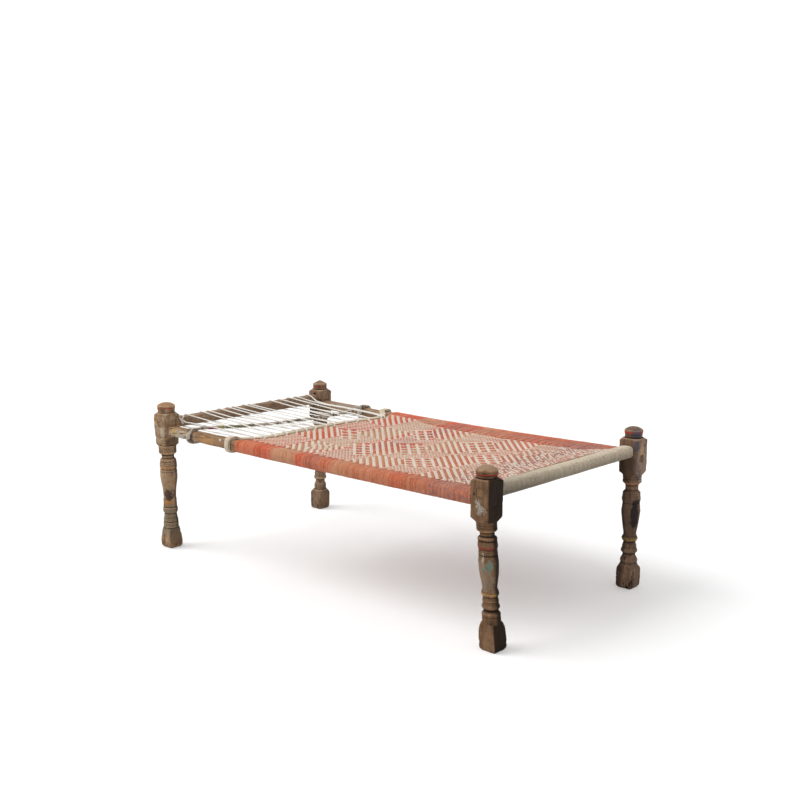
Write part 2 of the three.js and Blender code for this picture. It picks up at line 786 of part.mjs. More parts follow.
// The cord round the foot rail: over its top, down the outside and back underneath.
function railTurn(arrivingFrom, topAcross, returnAcross) {
  const rail = RAILS.foot_rail;
  const lift = GAP + CORD_RADIUS + CORD_ALLOWANCE;
  const height = railHeight(rail, topAcross);
  const middle = new THREE.Vector3(
    rail.middle + rail.width / 2 - RAIL_CORNER,
    topAcross,
    height + rail.height / 2 - RAIL_CORNER,
  );
  const angle = leavingAngle(arrivingFrom, middle, RAIL_CORNER + lift);
  const inner = angle < STEEP_ANGLE ? [angle, (angle + 90) / 2, 90] : [angle];
  const outline = [
    ...cornerPoints(rail, 1, 1, lift, inner),
    ...cornerPoints(rail, -1, 1, lift, [90, 112.5, 135, 157.5, 180]),
    ...cornerPoints(rail, -1, -1, lift, [180, 202.5, 225, 247.5, 270]),
    ...cornerPoints(rail, 1, -1, lift, [270]),
  ];
  const lengths = [0];
  for (let i = 1; i < outline.length; i++) {
    const step = Math.hypot(outline[i][0] - outline[i - 1][0], outline[i][1] - outline[i - 1][1]);
    lengths.push(lengths[i - 1] + step);
  }
  const whole = lengths[lengths.length - 1];
  return outline.map(([outward, up], i) => {
    const across = mix(topAcross, returnAcross, lengths[i] / whole);
    return new THREE.Vector3(rail.middle + outward, across, railHeight(rail, across) + up);
  });
}

// The cord round the border rope: in from underneath and out over the top.
function borderTurn(returnAcross, topAcross) {
  const rope = ROPES.border_rope;
  const lift = GAP + CORD_RADIUS + CORD_ALLOWANCE;
  const radius = ROPE_THICKNESS / 2 + lift;
  const arc = [-90, -45, 0, 45, 90].map((degrees) => {
    const across = mix(returnAcross, topAcross, (1 + Math.sin(radians(degrees))) / 2);
    const reach = ropeReach(rope, across) + BORDER_TURN_SLACK;
    const arcMiddle = alongBedOf(rope, across) + reach - ROPE_THICKNESS / 2;
    return new THREE.Vector3(
      arcMiddle + radius * Math.cos(radians(degrees)),
      across,
      rope.height + radius * Math.sin(radians(degrees)),
    );
  });
  const underRope = new THREE.Vector3(alongBedOf(rope, returnAcross), returnAcross, rope.height - radius);
  return [underRope, ...arc];
}

// The first end of the cord winds round the first strand where both are drawn together.
function hitch(pull, strandEnd) {
  const along = strandEnd.clone().sub(pull).normalize();
  const upward = new THREE.Vector3(0, 0, 1);
  upward.addScaledVector(along, -upward.dot(along)).normalize();
  const sideways = new THREE.Vector3().crossVectors(along, upward);
  const radius = CORD_DIAMETER + HITCH_CLEARANCE;
  const steps = Math.round(HITCH_TURNS * HITCH_STEPS_PER_TURN);
  const points = Array.from({ length: steps + 1 }, (_, i) => {
    const left = (steps - i) / HITCH_STEPS_PER_TURN;
    const angle = -2 * Math.PI * left;
    return pull
      .clone()
      .addScaledVector(along, HITCH_DISTANCE + left * HITCH_PITCH)
      .addScaledVector(upward, radius * Math.cos(angle))
      .addScaledVector(sideways, radius * Math.sin(angle));
  });
  const tail = points[0].clone().sub(points[1]).setLength(CORD_DIAMETER).add(points[0]);
  return [tail, ...points];
}

// The cord goes back under a rail a little further on than it came over it.
function returnPlace(first, next) {
  return first + Math.max(LEAST_RETURN_STEP, RETURN_STEP_SHARE * (next - first));
}

// The whole lacing as one run of points: hitch, then rail and border in turn, then its far end.
function lacingPoints() {
  const nearPull = new THREE.Vector3(
    -HALF_LENGTH + NEAR_PULL_INWARD,
    -HALF_WIDTH + NEAR_PULL_ACROSS,
    SIDE_RAIL_TOP + NEAR_PULL_ABOVE,
  );
  const farPull = new THREE.Vector3(
    -HALF_LENGTH + FAR_PULL_INWARD,
    HALF_WIDTH - FAR_PULL_ACROSS,
    SIDE_RAIL_TOP + FAR_PULL_ABOVE,
  );
  const tops = RAIL_STRAND_SHARES.map((share) => share * HALF_WIDTH);
  const borders = BORDER_STRAND_SHARES.map((share) => share * HALF_WIDTH);
  const pulls = new Map([
    [0, nearPull],
    [tops.length - 2, farPull],
    [tops.length - 1, farPull.clone().add(new THREE.Vector3(0, PAIR_SPACING, 0))],
  ]);
  const firstReturn = FIRST_RETURN_BORDER_SHARE * HALF_WIDTH;
  const firstLeaving = borderTurn(firstReturn, borders[0]).pop();
  const start = hitch(nearPull, pastCrossRope(nearPull, firstLeaving, 1)[0] ?? firstLeaving);
  const hitched = HITCHED_LEG_SHARE * HALF_WIDTH;
  const points = [...start, ...railTurn(start[start.length - 1], hitched, returnPlace(hitched, tops[0]))];
  for (let i = 0; i < tops.length; i++) {
    const returnBorder = i === 0 ? firstReturn : (borders[i - 1] + borders[i]) / 2;
    const turn = borderTurn(returnBorder, borders[i]);
    points.push(...pastCrossRope(points[points.length - 1], turn[0], -1), ...turn);
    const pull = pulls.get(i);
    const leaving = turn[turn.length - 1];
    const railTop = railHeight(RAILS.foot_rail, tops[i]) + FOOT_RAIL_HEIGHT / 2;
    const railEnd = new THREE.Vector3(-HALF_LENGTH, tops[i], railTop + GAP + CORD_RADIUS);
    points.push(...pastCrossRope(leaving, pull ?? railEnd, 1));
    if (pull) points.push(pull);
    const last = i === tops.length - 1;
    const returnAcross = last ? tops[i] + LAST_TURN_STEP : returnPlace(tops[i], tops[i + 1]);
    const round = railTurn(points[points.length - 1], tops[i], returnAcross);
    points.push(...(last ? round.slice(0, -1) : round));
  }
  // The far end lies along the underside of the foot rail, up to the leg.
  const last = points[points.length - 1];
  const blockFace = HALF_WIDTH - blockHalf("leg_foot_far", last.z) - GAP;
  const underside = railHeight(RAILS.foot_rail, HALF_WIDTH) - FOOT_RAIL_HEIGHT / 2;
  const height = underside - GAP - CORD_RADIUS - CORD_ALLOWANCE;
  points.push(new THREE.Vector3(last.x + CORD_DIAMETER, mix(last.y, blockFace, 1 / 3), height));
  points.push(new THREE.Vector3(-HALF_LENGTH, blockFace - CORD_DIAMETER, height));
  points.push(new THREE.Vector3(-HALF_LENGTH, blockFace, height));
  return points;
}

// A curve that passes through its points one by one, so that a bend keeps its own steps.
class CordRoute extends THREE.Curve {
  constructor(points) {
    super();
    this.points = points;
  }

  getPoint(share) {
    const place = share * (this.points.length - 1);
    const first = Math.min(Math.floor(place), this.points.length - 2);
    return this.points[first].clone().lerp(this.points[first + 1], place - first);
  }

  getTangent(share) {
    const place = Math.round(share * (this.points.length - 1));
    const before = this.points[Math.max(0, place - 1)];
    const here = this.points[place];
    const after = this.points[Math.min(this.points.length - 1, place + 1)];
    const tangent = new THREE.Vector3();
    if (here !== before) tangent.add(here.clone().sub(before).normalize());
    if (here !== after) tangent.add(after.clone().sub(here).normalize());
    return tangent.normalize();
  }

  getUtoTmapping(share) {
    return share;
  }
}

function cordSolid(points) {
  const section = Array.from({ length: CORD_SIDES }, (_, i) => {
    const angle = (2 * Math.PI * i) / CORD_SIDES;
    return new THREE.Vector2(CORD_RADIUS * Math.cos(angle), CORD_RADIUS * Math.sin(angle));
  });
  const geometry = new THREE.ExtrudeGeometry(new THREE.Shape(section), {
    steps: points.length - 1,
    curveSegments: 1,
    extrudePath: new CordRoute(points),
  });
  return solidFromGeometry(geometry);
}

// Least distance from a straight stretch to another, found along the first in small steps.
function distanceAlong(stretch, other) {
  let least = Infinity;
  const nearest = new THREE.Vector3();
  for (let i = 0; i <= GAP_STEPS; i++) {
    const point = stretch.at(i / GAP_STEPS, new THREE.Vector3());
    other.closestPointToPoint(point, true, nearest);
    least = Math.min(least, nearest.distanceTo(point));
  }
  return least;
}

function leastGapToItself(points) {
  const along = [0];
  const stretches = [];
  for (let i = 1; i < points.length; i++) {
    stretches.push(new THREE.Line3(points[i - 1], points[i]));
    along.push(along[i - 1] + points[i].distanceTo(points[i - 1]));
  }
  let least = Infinity;
  for (let i = 0; i < stretches.length; i++) {
    for (let j = i + 2; j < stretches.length; j++) {
      if (along[j] - along[i + 1] < 2 * CORD_DIAMETER) continue;
      least = Math.min(least, distanceAlong(stretches[i], stretches[j]) - CORD_DIAMETER);
      least = Math.min(least, distanceAlong(stretches[j], stretches[i]) - CORD_DIAMETER);
    }
  }
  return { least, length: along[along.length - 1] };
}

// The woven seat: a thin slab from the lacing's turns at the border rope to the head rail,
// hung between the side wraps, sagging in the middle and climbing to the head rail.
function seatTop(alongBed, across, start, end) {
  const share = across / HALF_WIDTH;
  const lengthShare = (alongBed - start) / (end - start);
  const hollow = (1 - share * share) * Math.sin(Math.PI * lengthShare);
  const climb = THREE.MathUtils.smoothstep(alongBed, end - SEAT_HEAD_CLIMB_LENGTH, end);
  const climbing = climb * (SEAT_HEAD_TOP - SEAT_EDGE_TOP) * (1 - share ** 4);
  return SEAT_EDGE_TOP - SEAT_SAG * hollow + climbing;
}

function seatSlab() {
  const halfAcross = HALF_WIDTH - SIDE_RAIL_WIDTH / 2 - WRAP_THICKNESS + SEAT_CORNER_REACH;
  const end = HALF_LENGTH - END_RAIL_WIDTH / 2 - WRAP_THICKNESS + SEAT_CORNER_REACH;
  const rope = ROPES.border_rope;
  const places = [-halfAcross, ...bedShares(rope).map((share) => share * HALF_WIDTH), halfAcross];
  const columns = places.length;
  const lastColumn = columns - 1;
  const ropeToSeat = 2 * GAP + CORD_DIAMETER + BORDER_TURN_SLACK + SEAT_EDGE_SLACK;
  const top = [];
  for (let i = 0; i <= SEAT_STEPS_LENGTH; i++) {
    for (const across of places) {
      const start = alongBedOf(rope, across) + ropeReach(rope, across) + ropeToSeat;
      const alongBed = mix(start, end, i / SEAT_STEPS_LENGTH);
      top.push([alongBed, across, seatTop(alongBed, across, start, end)]);
    }
  }
  const positions = [...top, ...top.map(([x, y, z]) => [x, y, z - SEAT_THICKNESS])].flat();
  const below = top.length;
  const faces = [];
  const side = (a, b) => faces.push([a, a + below, b + below], [a, b + below, b]);
  for (let i = 0; i < SEAT_STEPS_LENGTH; i++) {
    for (let j = 0; j < lastColumn; j++) {
      const a = i * columns + j;
      const b = a + columns;
      faces.push([a, b, b + 1], [a, b + 1, a + 1]);
      faces.push([a + below, b + 1 + below, b + below], [a + below, a + 1 + below, b + 1 + below]);
    }
    side(i * columns, (i + 1) * columns);
    side((i + 1) * columns + lastColumn, i * columns + lastColumn);
  }
  for (let j = 0; j < lastColumn; j++) {
    side(j + 1, j);
    side(SEAT_STEPS_LENGTH * columns + j, SEAT_STEPS_LENGTH * columns + j + 1);
  }
  const geometry = new THREE.BufferGeometry();
  geometry.setAttribute("position", new THREE.Float32BufferAttribute(positions, 3));
  geometry.setIndex(faces.flat());
  return solidFromGeometry(geometry);
}

function seatSolid() {
  let seat = seatSlab();
  for (const { rail, from, to } of Object.values(WRAPS)) {
    seat = seat.subtract(bar(rail.axis, wrapOuter(rail, from, to, GAP)));
  }
  for (const rail of [RAILS.side_rail_near, RAILS.side_rail_far, RAILS.head_rail]) {
    const span = halfSpan(rail);
    seat = seat.subtract(bar(rail.axis, railStations(rail, -span, span, 1, GAP)));
  }
  for (const leg of Object.keys(LEGS)) seat = seat.subtract(legBody(leg, GAP));
  return seat.decompose().sort((a, b) => b.volume() - a.volume())[0];
}

// Between the legs the bed hangs a little lower towards its middle, more so on the far side.
function settle(vertex) {
  const depth = mix(SETTLE_NEAR, SETTLE_FAR, (1 + vertex[1] / HALF_WIDTH) / 2);
  const share = vertex[0] / (HALF_LENGTH - BLOCK_SIDE / 2);
  vertex[2] -= depth * Math.max(0, 1 - share * share);
}

const group = new THREE.Group();

function addPiece(name, solid, colour, roughness) {
  const material = new THREE.MeshStandardMaterial({ color: colour, roughness, metalness: 0 });
  const mesh = new THREE.Mesh(geometryFromSolid(solid), material);
  mesh.name = name;
  group.add(mesh);
}

for (const [name, leg] of Object.entries(LEGS)) addPiece(name, legSolid(name), leg.colour, WOOD_ROUGHNESS);
for (const [name, rail] of Object.entries(RAILS)) {
  addPiece(name, railSolid(rail).warp(settle), rail.colour, WOOD_ROUGHNESS);
}
for (const [name, { rail, from, to, colour }] of Object.entries(WRAPS)) {
  addPiece(name, wrapSolid(rail, from, to).warp(settle), colour, CORD_ROUGHNESS);
}
addPiece("woven_seat", seatSolid().warp(settle), 0xc98a6c, CORD_ROUGHNESS);
for (const [name, rope] of Object.entries(ROPES)) {
  addPiece(name, flatRope(ropePath(rope)).warp(settle), rope.colour, CORD_ROUGHNESS);
}
const lacing = lacingPoints();
addPiece("lacing_cord", cordSolid(lacing).warp(settle), 0xe0d8c8, CORD_ROUGHNESS);
const { least, length } = leastGapToItself(lacing);
console.log(`lacing: ${length.toFixed(0)} mm of cord, least gap to itself ${least.toFixed(2)} mm`);

// The bed stands with the middle of its own outline over the origin.
const middle = new THREE.Box3().setFromObject(group).getCenter(new THREE.Vector3());
for (const mesh of group.children) mesh.geometry.translate(-middle.x, -middle.y, 0);

export default group;
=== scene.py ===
import math
import random

import bmesh
import bpy
import numpy as np
from mathutils import Matrix, Vector, noise


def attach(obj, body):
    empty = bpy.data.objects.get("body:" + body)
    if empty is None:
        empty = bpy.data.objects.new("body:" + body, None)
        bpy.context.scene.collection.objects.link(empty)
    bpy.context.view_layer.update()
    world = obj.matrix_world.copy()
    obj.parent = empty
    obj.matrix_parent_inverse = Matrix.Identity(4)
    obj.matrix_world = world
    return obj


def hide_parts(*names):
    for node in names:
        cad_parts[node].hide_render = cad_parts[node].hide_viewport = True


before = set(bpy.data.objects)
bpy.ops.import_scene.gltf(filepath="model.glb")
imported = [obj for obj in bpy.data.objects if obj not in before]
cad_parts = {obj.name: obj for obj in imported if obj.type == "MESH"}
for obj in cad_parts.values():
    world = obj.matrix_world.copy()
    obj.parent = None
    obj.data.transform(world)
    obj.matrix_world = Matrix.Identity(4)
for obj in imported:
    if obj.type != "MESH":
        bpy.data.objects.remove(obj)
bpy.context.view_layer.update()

# A rope cot. Metres, +Z up. X runs along the bed with the head at +X, Y runs across it.
# Places are measured from the middle of the four legs; the bed's outline is a little off it.
OUTLINE_SHIFT = Vector((-0.003136, 0.000144, 0))
HALF_LENGTH = 0.8516
HALF_WIDTH = 0.43915
LEG_HEIGHT = 0.62
BLOCK_SIDE = 0.0702
BLOCK_BOTTOM = 0.4439
SETTLE_NEAR = 0.003
SETTLE_FAR = 0.010
DRAWN_ALONG = 0.015
DRAWN_UP = 0.007

# The camera stands where the photographer stood.
CAMERA_PLACE = Vector((3.0029, -3.1707, 1.4080))
CAMERA_ROUND = 0.74622
CAMERA_DOWN = 0.16633
CAMERA_LENS = 50.611


def place_object(name, data):
    """A new object in the scene."""
    made = bpy.data.objects.new(name, data)
    scene.collection.objects.link(made)
    return made


scene = bpy.context.scene
scene.view_settings.view_transform = "Standard"
camera_data = bpy.data.cameras.new("camera")
camera_data.lens = CAMERA_LENS
camera_data.sensor_width = 36
camera = place_object("camera", camera_data)
camera.location = CAMERA_PLACE + OUTLINE_SHIFT
camera.rotation_euler = (math.pi / 2 - CAMERA_DOWN, 0, CAMERA_ROUND)
scene.camera = camera

chance = random.Random(7)
spread = np.random.default_rng(7)


# Materials


class Nodes:
    """Adds nodes to a node tree. A value is a number, a colour or another node's socket."""

    def __init__(self, tree):
        self.tree = tree

    def link(self, value, socket):
        self.tree.links.new(value, socket)

    def add(self, kind, inputs=None, **settings):
        node = self.tree.nodes.new(kind)
        for name, value in settings.items():
            setattr(node, name, value)
        for name, value in (inputs or {}).items():
            socket = node.inputs[name]
            if isinstance(value, bpy.types.NodeSocket):
                self.link(value, socket)
            else:
                socket.default_value = value
        return node

    def maths(self, operation, first, second=0.5, clamp=False):
        settings = {"operation": operation, "use_clamp": clamp}
        return self.add("ShaderNodeMath", {0: first, 1: second}, **settings).outputs[0]

    def plus(self, first, second, clamp=False):
        return self.maths("ADD", first, second, clamp)

    def minus(self, first, second):
        return self.maths("SUBTRACT", first, second)

    def times(self, first, second, clamp=False):
        return self.maths("MULTIPLY", first, second, clamp)

    def rest(self, share):
        """What a share leaves of the whole."""
        return self.minus(1.0, share)

    def mix(self, share, first, second, blend="MIX"):
        inputs = {0: share}
        for socket, colour in ((6, first), (7, second)):
            inputs[socket] = colour if isinstance(colour, bpy.types.NodeSocket) else (*colour, 1)
        return self.add("ShaderNodeMix", inputs, data_type="RGBA", blend_type=blend).outputs[2]

    def paint(self, colour, mask, strength, paint):
        """The colour with paint over it where the mask is."""
        return self.mix(self.times(mask, strength), colour, paint)

    def noise(self, place, scale, detail=4, roughness=0.55):
        inputs = {"Vector": place, "Scale": scale, "Detail": detail, "Roughness": roughness}
        return self.add("ShaderNodeTexNoise", inputs).outputs["Fac"]

    def uneven(self, *settings):
        """Noise around nought."""
        return self.minus(self.noise(*settings), 0.5)

    def step(self, value, low, high):
        inputs = {"Value": value, "From Min": low, "From Max": high}
        return self.add("ShaderNodeMapRange", inputs, interpolation_type="SMOOTHSTEP").outputs[0]

    def past(self, value, limit, margin):
        """From 0 below the limit to 1 above it, with a margin on each side."""
        return self.step(value, self.minus(limit, margin), self.plus(limit, margin))

    def scaled(self, place, scale, location=(0, 0, 0)):
        inputs = {"Vector": place, "Scale": scale, "Location": location}
        return self.add("ShaderNodeMapping", inputs).outputs[0]

    def split(self, place):
        return self.add("ShaderNodeSeparateXYZ", {0: place}).outputs

    def kept(self, name):
        """A number that each point of the mesh keeps."""
        return self.add("ShaderNodeAttribute", attribute_name=name).outputs["Fac"]

    def ramp(self, value, stops):
        node = self.add("ShaderNodeValToRGB", {"Fac": value})
        elements = node.color_ramp.elements
        while len(elements) < len(stops):
            elements.new(0.5)
        for element, (place, colour) in zip(elements, stops):
            element.position = place
            element.color = (*colour, 1)
        return node.outputs[0]

    def group(self, tree, inputs):
        return self.add("ShaderNodeGroup", inputs, node_tree=tree).outputs

    def patches(self, place, size, cover, soft=0.03):
        inputs = {"Place": place, "Size": size, "Cover": cover, "Soft": soft}
        return self.group(PATCHES, inputs)["Mask"]

    def spot(self, place, centre, reach, ragged, fineness):
        inputs = {"Place": place, "Centre": centre, "Reach": reach}
        return self.group(SPOT, {**inputs, "Ragged": ragged, "Fineness": fineness})["Mask"]


PLACE_SOCKET = ("Place", "Vector", None)


def new_group(name, inputs, outputs, output_kind="Float"):
    """An empty shader group: its tree, its nodes, and the sockets it is given and fills."""
    tree = bpy.data.node_groups.new(name, "ShaderNodeTree")
    for title, kind, value in inputs:
        socket = tree.interface.new_socket(title, in_out="INPUT", socket_type="NodeSocket" + kind)
        if value is not None:
            socket.default_value = value
    for title in outputs:
        tree.interface.new_socket(title, in_out="OUTPUT", socket_type="NodeSocket" + output_kind)
    nodes = Nodes(tree)
    return tree, nodes, nodes.add("NodeGroupInput").outputs, nodes.add("NodeGroupOutput").inputs


def grain_group():
    """Old weathered wood: fine fibre, slow changes of tone, and drying cracks along the grain."""
    titles = ["Fibre", "Tone", "Crack"]
    tree, nodes, given, result = new_group("weathered_grain", [PLACE_SOCKET], titles)
    place = given["Place"]
    nodes.link(nodes.noise(place, 1.6, 7, 0.62), result["Fibre"])
    nodes.link(nodes.noise(place, 0.22, 3, 0.5), result["Tone"])
    distance = nodes.maths("ABSOLUTE", nodes.uneven(place, 0.55, 3, 0.6))
    crack = nodes.rest(nodes.step(distance, 0.004, 0.018))
    broken = nodes.step(nodes.noise(place, 0.13, 2), 0.5, 0.58)
    nodes.link(nodes.times(crack, broken), result["Crack"])
    return tree


def patch_group():
    """Ragged patches all over, of old paint or dirt. More cover means more and larger patches."""
    sockets = [
        PLACE_SOCKET, ("Size", "Float", 20), ("Cover", "Float", 0.4), ("Soft", "Float", 0.04),
    ]
    tree, nodes, given, result = new_group("ragged_patches", sockets, ["Mask"])
    value = nodes.noise(given["Place"], given["Size"], 6, 0.62)
    nodes.link(nodes.past(value, nodes.rest(given["Cover"]), given["Soft"]), result["Mask"])
    return tree


def spot_group():
    """One ragged spot of paint or dirt round a centre, with its own reach along X, Y and Z."""
    sockets = [
        PLACE_SOCKET, ("Centre", "Vector", None), ("Reach", "Vector", (0.02, 0.02, 0.02)),
        ("Ragged", "Float", 0.9), ("Fineness", "Float", 90),
    ]
    tree, nodes, given, result = new_group("paint_spot", sockets, ["Mask"])

    def vector(operation, *values):
        inputs = dict(enumerate(values))
        return nodes.add("ShaderNodeVectorMath", inputs, operation=operation).outputs

    away = vector("SUBTRACT", given["Place"], given["Centre"])[0]
    length = vector("LENGTH", vector("DIVIDE", away, given["Reach"])[0])["Value"]
    rough = nodes.uneven(given["Place"], given["Fineness"], 5, 0.65)
    shaken = nodes.plus(length, nodes.times(rough, nodes.times(given["Ragged"], 3)))
    nodes.link(nodes.rest(nodes.step(shaken, 0.75, 1.05)), result["Mask"])
    return tree


def band_group():
    """A band between two heights with a ragged edge and worn gaps."""
    sockets = [
        PLACE_SOCKET, ("Height", "Float", 0), ("Low", "Float", 0), ("High", "Float", 0.01),
        ("Ragged", "Float", 0.003), ("Worn", "Float", 0.4),
    ]
    tree, nodes, given, result = new_group("worn_band", sockets, ["Mask"])
    rough = nodes.uneven(given["Place"], 70, 4, 0.6)
    height = nodes.plus(given["Height"], nodes.times(rough, given["Ragged"]))
    below = nodes.rest(nodes.past(height, given["High"], 0.0006))
    inside = nodes.times(nodes.past(height, given["Low"], 0.0006), below)
    kept = nodes.past(nodes.noise(given["Place"], 55, 5, 0.65), given["Worn"], 0.03)
    nodes.link(nodes.times(inside, kept), result["Mask"])
    return tree


def lay_group():
    """The twist of a two-ply cord, from how far a point is along the cord and how far round it."""
    sockets, titles = [("Pitch", "Float", 0.009)], ["Height", "Shade", "Fuzz"]
    tree, nodes, given, result = new_group("cord_lay", sockets, titles)
    turn = nodes.times(nodes.maths("DIVIDE", nodes.kept("along"), given["Pitch"]), 2 * math.pi)
    first = nodes.times(nodes.kept("round_cos"), nodes.maths("COSINE", turn))
    second = nodes.times(nodes.kept("round_sin"), nodes.maths("SINE", turn))
    nodes.link(nodes.maths("ABSOLUTE", nodes.plus(first, second)), result["Height"])
    nodes.link(nodes.kept("shade"), result["Shade"])
    place = nodes.add("ShaderNodeTexCoord").outputs["Object"]
    nodes.link(nodes.noise(place, 900, 3, 0.7), result["Fuzz"])
    return tree


GRAIN = grain_group()
PATCHES = patch_group()
SPOT = spot_group()
BAND = band_group()
LAY = lay_group()


def new_material(name):
    """A material's nodes, its shader and the place on the piece."""
    material = bpy.data.materials.new(name)
    material.use_nodes = True
    nodes = Nodes(material.node_tree)
    shader = material.node_tree.nodes["Principled BSDF"]
    place = nodes.add("ShaderNodeTexCoord").outputs["Object"]
    return material, nodes, shader, place


def finish_material(nodes, shader, colour, roughness, height, strength, distance):
    """Joins a colour, a roughness and a bump to the shader."""
    inputs = {"Strength": strength, "Distance": distance, "Height": height}
    bump = nodes.add("ShaderNodeBump", inputs)
    nodes.link(colour, shader.inputs["Base Color"])
    nodes.link(bump.outputs[0], shader.inputs["Normal"])
    nodes.link(roughness, shader.inputs["Roughness"])


def toned(colour, factor):
    """A darker or lighter colour."""
    return tuple(min(1, factor * c) for c in colour)


def metres(values):
    """Values given in millimetres, in metres."""
    return tuple(value / 1000 for value in values)


# Near-black paint for painted shade, with some grime, on the legs' sides away from the light.
SHADE_AND_GRIME = (0.010, 0.006, 0.0035)


def old_wood(name, grain_scale, light, dark, spots, bands=(), centre=(0, 0)):
    """Weathered wood with old paint. grain_scale is small along the grain. Bands, as their lower
    and upper height, how worn they are and their paint, and then spots, as their centre, reach,
    raggedness, fineness, strength and paint, are laid over it in millimetres from centre."""
    material, nodes, shader, place = new_material(name)
    home = tuple(-c - s for c, s in zip((*centre, 0), OUTLINE_SHIFT))
    local = nodes.scaled(place, (1, 1, 1), home)
    grain = nodes.group(GRAIN, {"Place": nodes.scaled(local, grain_scale)})
    fibre = grain["Fibre"]
    middle = tuple((a + b) / 2 for a, b in zip(light, dark))
    tone = nodes.plus(nodes.times(fibre, 0.65), nodes.times(grain["Tone"], 0.35))
    colour = nodes.ramp(tone, [(0.32, dark), (0.5, middle), (0.68, light)])
    colour = nodes.paint(colour, nodes.patches(local, 26, 0.45, 0.1), 0.4, toned(dark, 0.55))
    speckles = [(105, 0.38, 0.50, toned(dark, 0.40)), (95, 0.35, 0.40, toned(light, 1.3))]
    for size, cover, strength, paint in speckles:
        moved = nodes.scaled(local, (1, 1, 0.6), (size, 3, 5))
        colour = nodes.paint(colour, nodes.patches(moved, size, cover, 0.04), strength, paint)
    height = nodes.split(local)["Z"]
    for low, high, worn, paint in bands:
        low, high = metres((low, high))
        inputs = {"Place": local, "Height": height, "Low": low, "High": high, "Worn": worn}
        colour = nodes.mix(nodes.group(BAND, inputs)["Mask"], colour, paint)
    for spot_middle, reach, ragged, fineness, strength, paint in spots:
        mask = nodes.spot(local, metres(spot_middle), metres(reach), ragged, fineness)
        colour = nodes.paint(colour, mask, strength, paint)
    recess = nodes.kept("recess")
    # Painted shade: the hollows of the turning and the gaps between the notches are darkened.
    hollow_shade = nodes.step(recess, 0.0003, 0.0028)
    edges = nodes.step(nodes.times(recess, -1.0), 0.0004, 0.003)
    colour = nodes.paint(colour, hollow_shade, 0.85, toned(dark, 0.15))
    colour = nodes.paint(colour, edges, nodes.times(fibre, 0.9), toned(light, 1.35))
    # Painted shade, with some grime, on each leg's side away from the light.
    colour = nodes.paint(colour, nodes.kept("shade_and_grime"), 0.96, SHADE_AND_GRIME)
    colour = nodes.mix(grain["Crack"], colour, toned(dark, 0.12))
    roughness = nodes.plus(nodes.times(fibre, 0.35), 0.5, clamp=True)
    relief = nodes.minus(fibre, nodes.times(grain["Crack"], 0.8))
    finish_material(nodes, shader, colour, roughness, relief, 0.7, 0.0012)
    shader.inputs["Specular IOR Level"].default_value = 0.12
    return material


def cord_material(name, pitch, colouring, depth=0.0006):
    """A twisted cord. colouring takes the nodes, the place and the cord's shade, from 0 to 1."""
    material, nodes, shader, place = new_material(name)
    lay = nodes.group(LAY, {"Pitch": pitch})
    colour = colouring(nodes, place, lay["Shade"])
    # Painted shade in the grooves between the plies.
    groove_shade = nodes.rest(nodes.step(lay["Height"], 0.0, 0.45))
    colour = nodes.mix(nodes.times(groove_shade, 0.45), colour, (0.16, 0.11, 0.075), "MULTIPLY")
    relief = nodes.plus(nodes.maths("POWER", lay["Height"], 0.6), nodes.times(lay["Fuzz"], 0.3))
    rough = nodes.plus(nodes.times(lay["Fuzz"], 0.15), 0.82, clamp=True)
    finish_material(nodes, shader, colour, rough, relief, 0.6, depth)
    for socket in ("Sheen Weight", "Specular IOR Level"):
        shader.inputs[socket].default_value = 0.15
    return material


WHITE_COTTON = (0.96, 0.93, 0.88)
DEEP_ORANGE = (0.67, 0.150, 0.062)
RED = (0.66, 0.098, 0.046)
WARM_RED = (0.60, 0.130, 0.062)
BROWN_RED = (0.47, 0.102, 0.065)
ORANGE_RED = (0.56, 0.163, 0.075)
SALMON = (0.60, 0.270, 0.145)
APRICOT = (0.60, 0.205, 0.105)
TAN = (0.60, 0.308, 0.178)
MAUVE = (0.52, 0.185, 0.115)
GREY_BLUE = (0.22, 0.17, 0.20)

# Each colour of the cross cords starts at a place along the bed.
DYED_BANDS = [
    (-0.42, DEEP_ORANGE), (-0.27, RED), (-0.174, TAN), (-0.038, RED), (0.010, BROWN_RED),
    (0.078, WARM_RED), (0.148, SALMON), (0.236, APRICOT), (0.318, ORANGE_RED), (0.430, WARM_RED),
    (0.500, ORANGE_RED), (0.612, MAUVE), (0.720, ORANGE_RED),
]
BANDS_START, BANDS_LENGTH = -0.42, 1.26


def dyed_bands_group():
    """The colours of the cross cords along the bed, with a soft, uneven change from one to the
    next, and warmer near the two side rails."""
    tree, nodes, given, result = new_group("dyed_bands", [PLACE_SOCKET], ["Colour"], "Color")
    parts = nodes.split(given["Place"])
    along = nodes.plus(parts["X"], nodes.times(parts["Y"], 0.022))
    shake = nodes.times(nodes.uneven(given["Place"], 14, 2), 0.016)
    share = nodes.maths("DIVIDE", nodes.minus(nodes.plus(along, shake), BANDS_START), BANDS_LENGTH)
    stops = []
    for (start, colour), (end, _) in zip(DYED_BANDS, DYED_BANDS[1:] + [(0.84, None)]):
        stops.append(((start - BANDS_START) / BANDS_LENGTH + 0.004, colour))
        stops.append(((end - BANDS_START) / BANDS_LENGTH - 0.004, colour))
    colour = nodes.ramp(share, stops)
    for inner, outer, strength, warmer in (
        (0.05, -0.42, 0.25, (0.64, 0.215, 0.080)), (0.31, 0.38, 0.27, (0.86, 0.190, 0.085)),
    ):
        colour = nodes.paint(colour, nodes.step(parts["Y"], inner, outer), strength, warmer)
    nodes.link(colour, result["Colour"])
    return tree


BANDS = dyed_bands_group()


# Flecks drawn out along the cross cords: size, cover, strength and colour.
STREAKS = [
    (150, 0.40, 0.5, (0.27, 0.07, 0.04)), (165, 0.38, 0.5, (0.74, 0.50, 0.34)),
    (140, 0.36, 0.5, (0.66, 0.13, 0.06)),
]


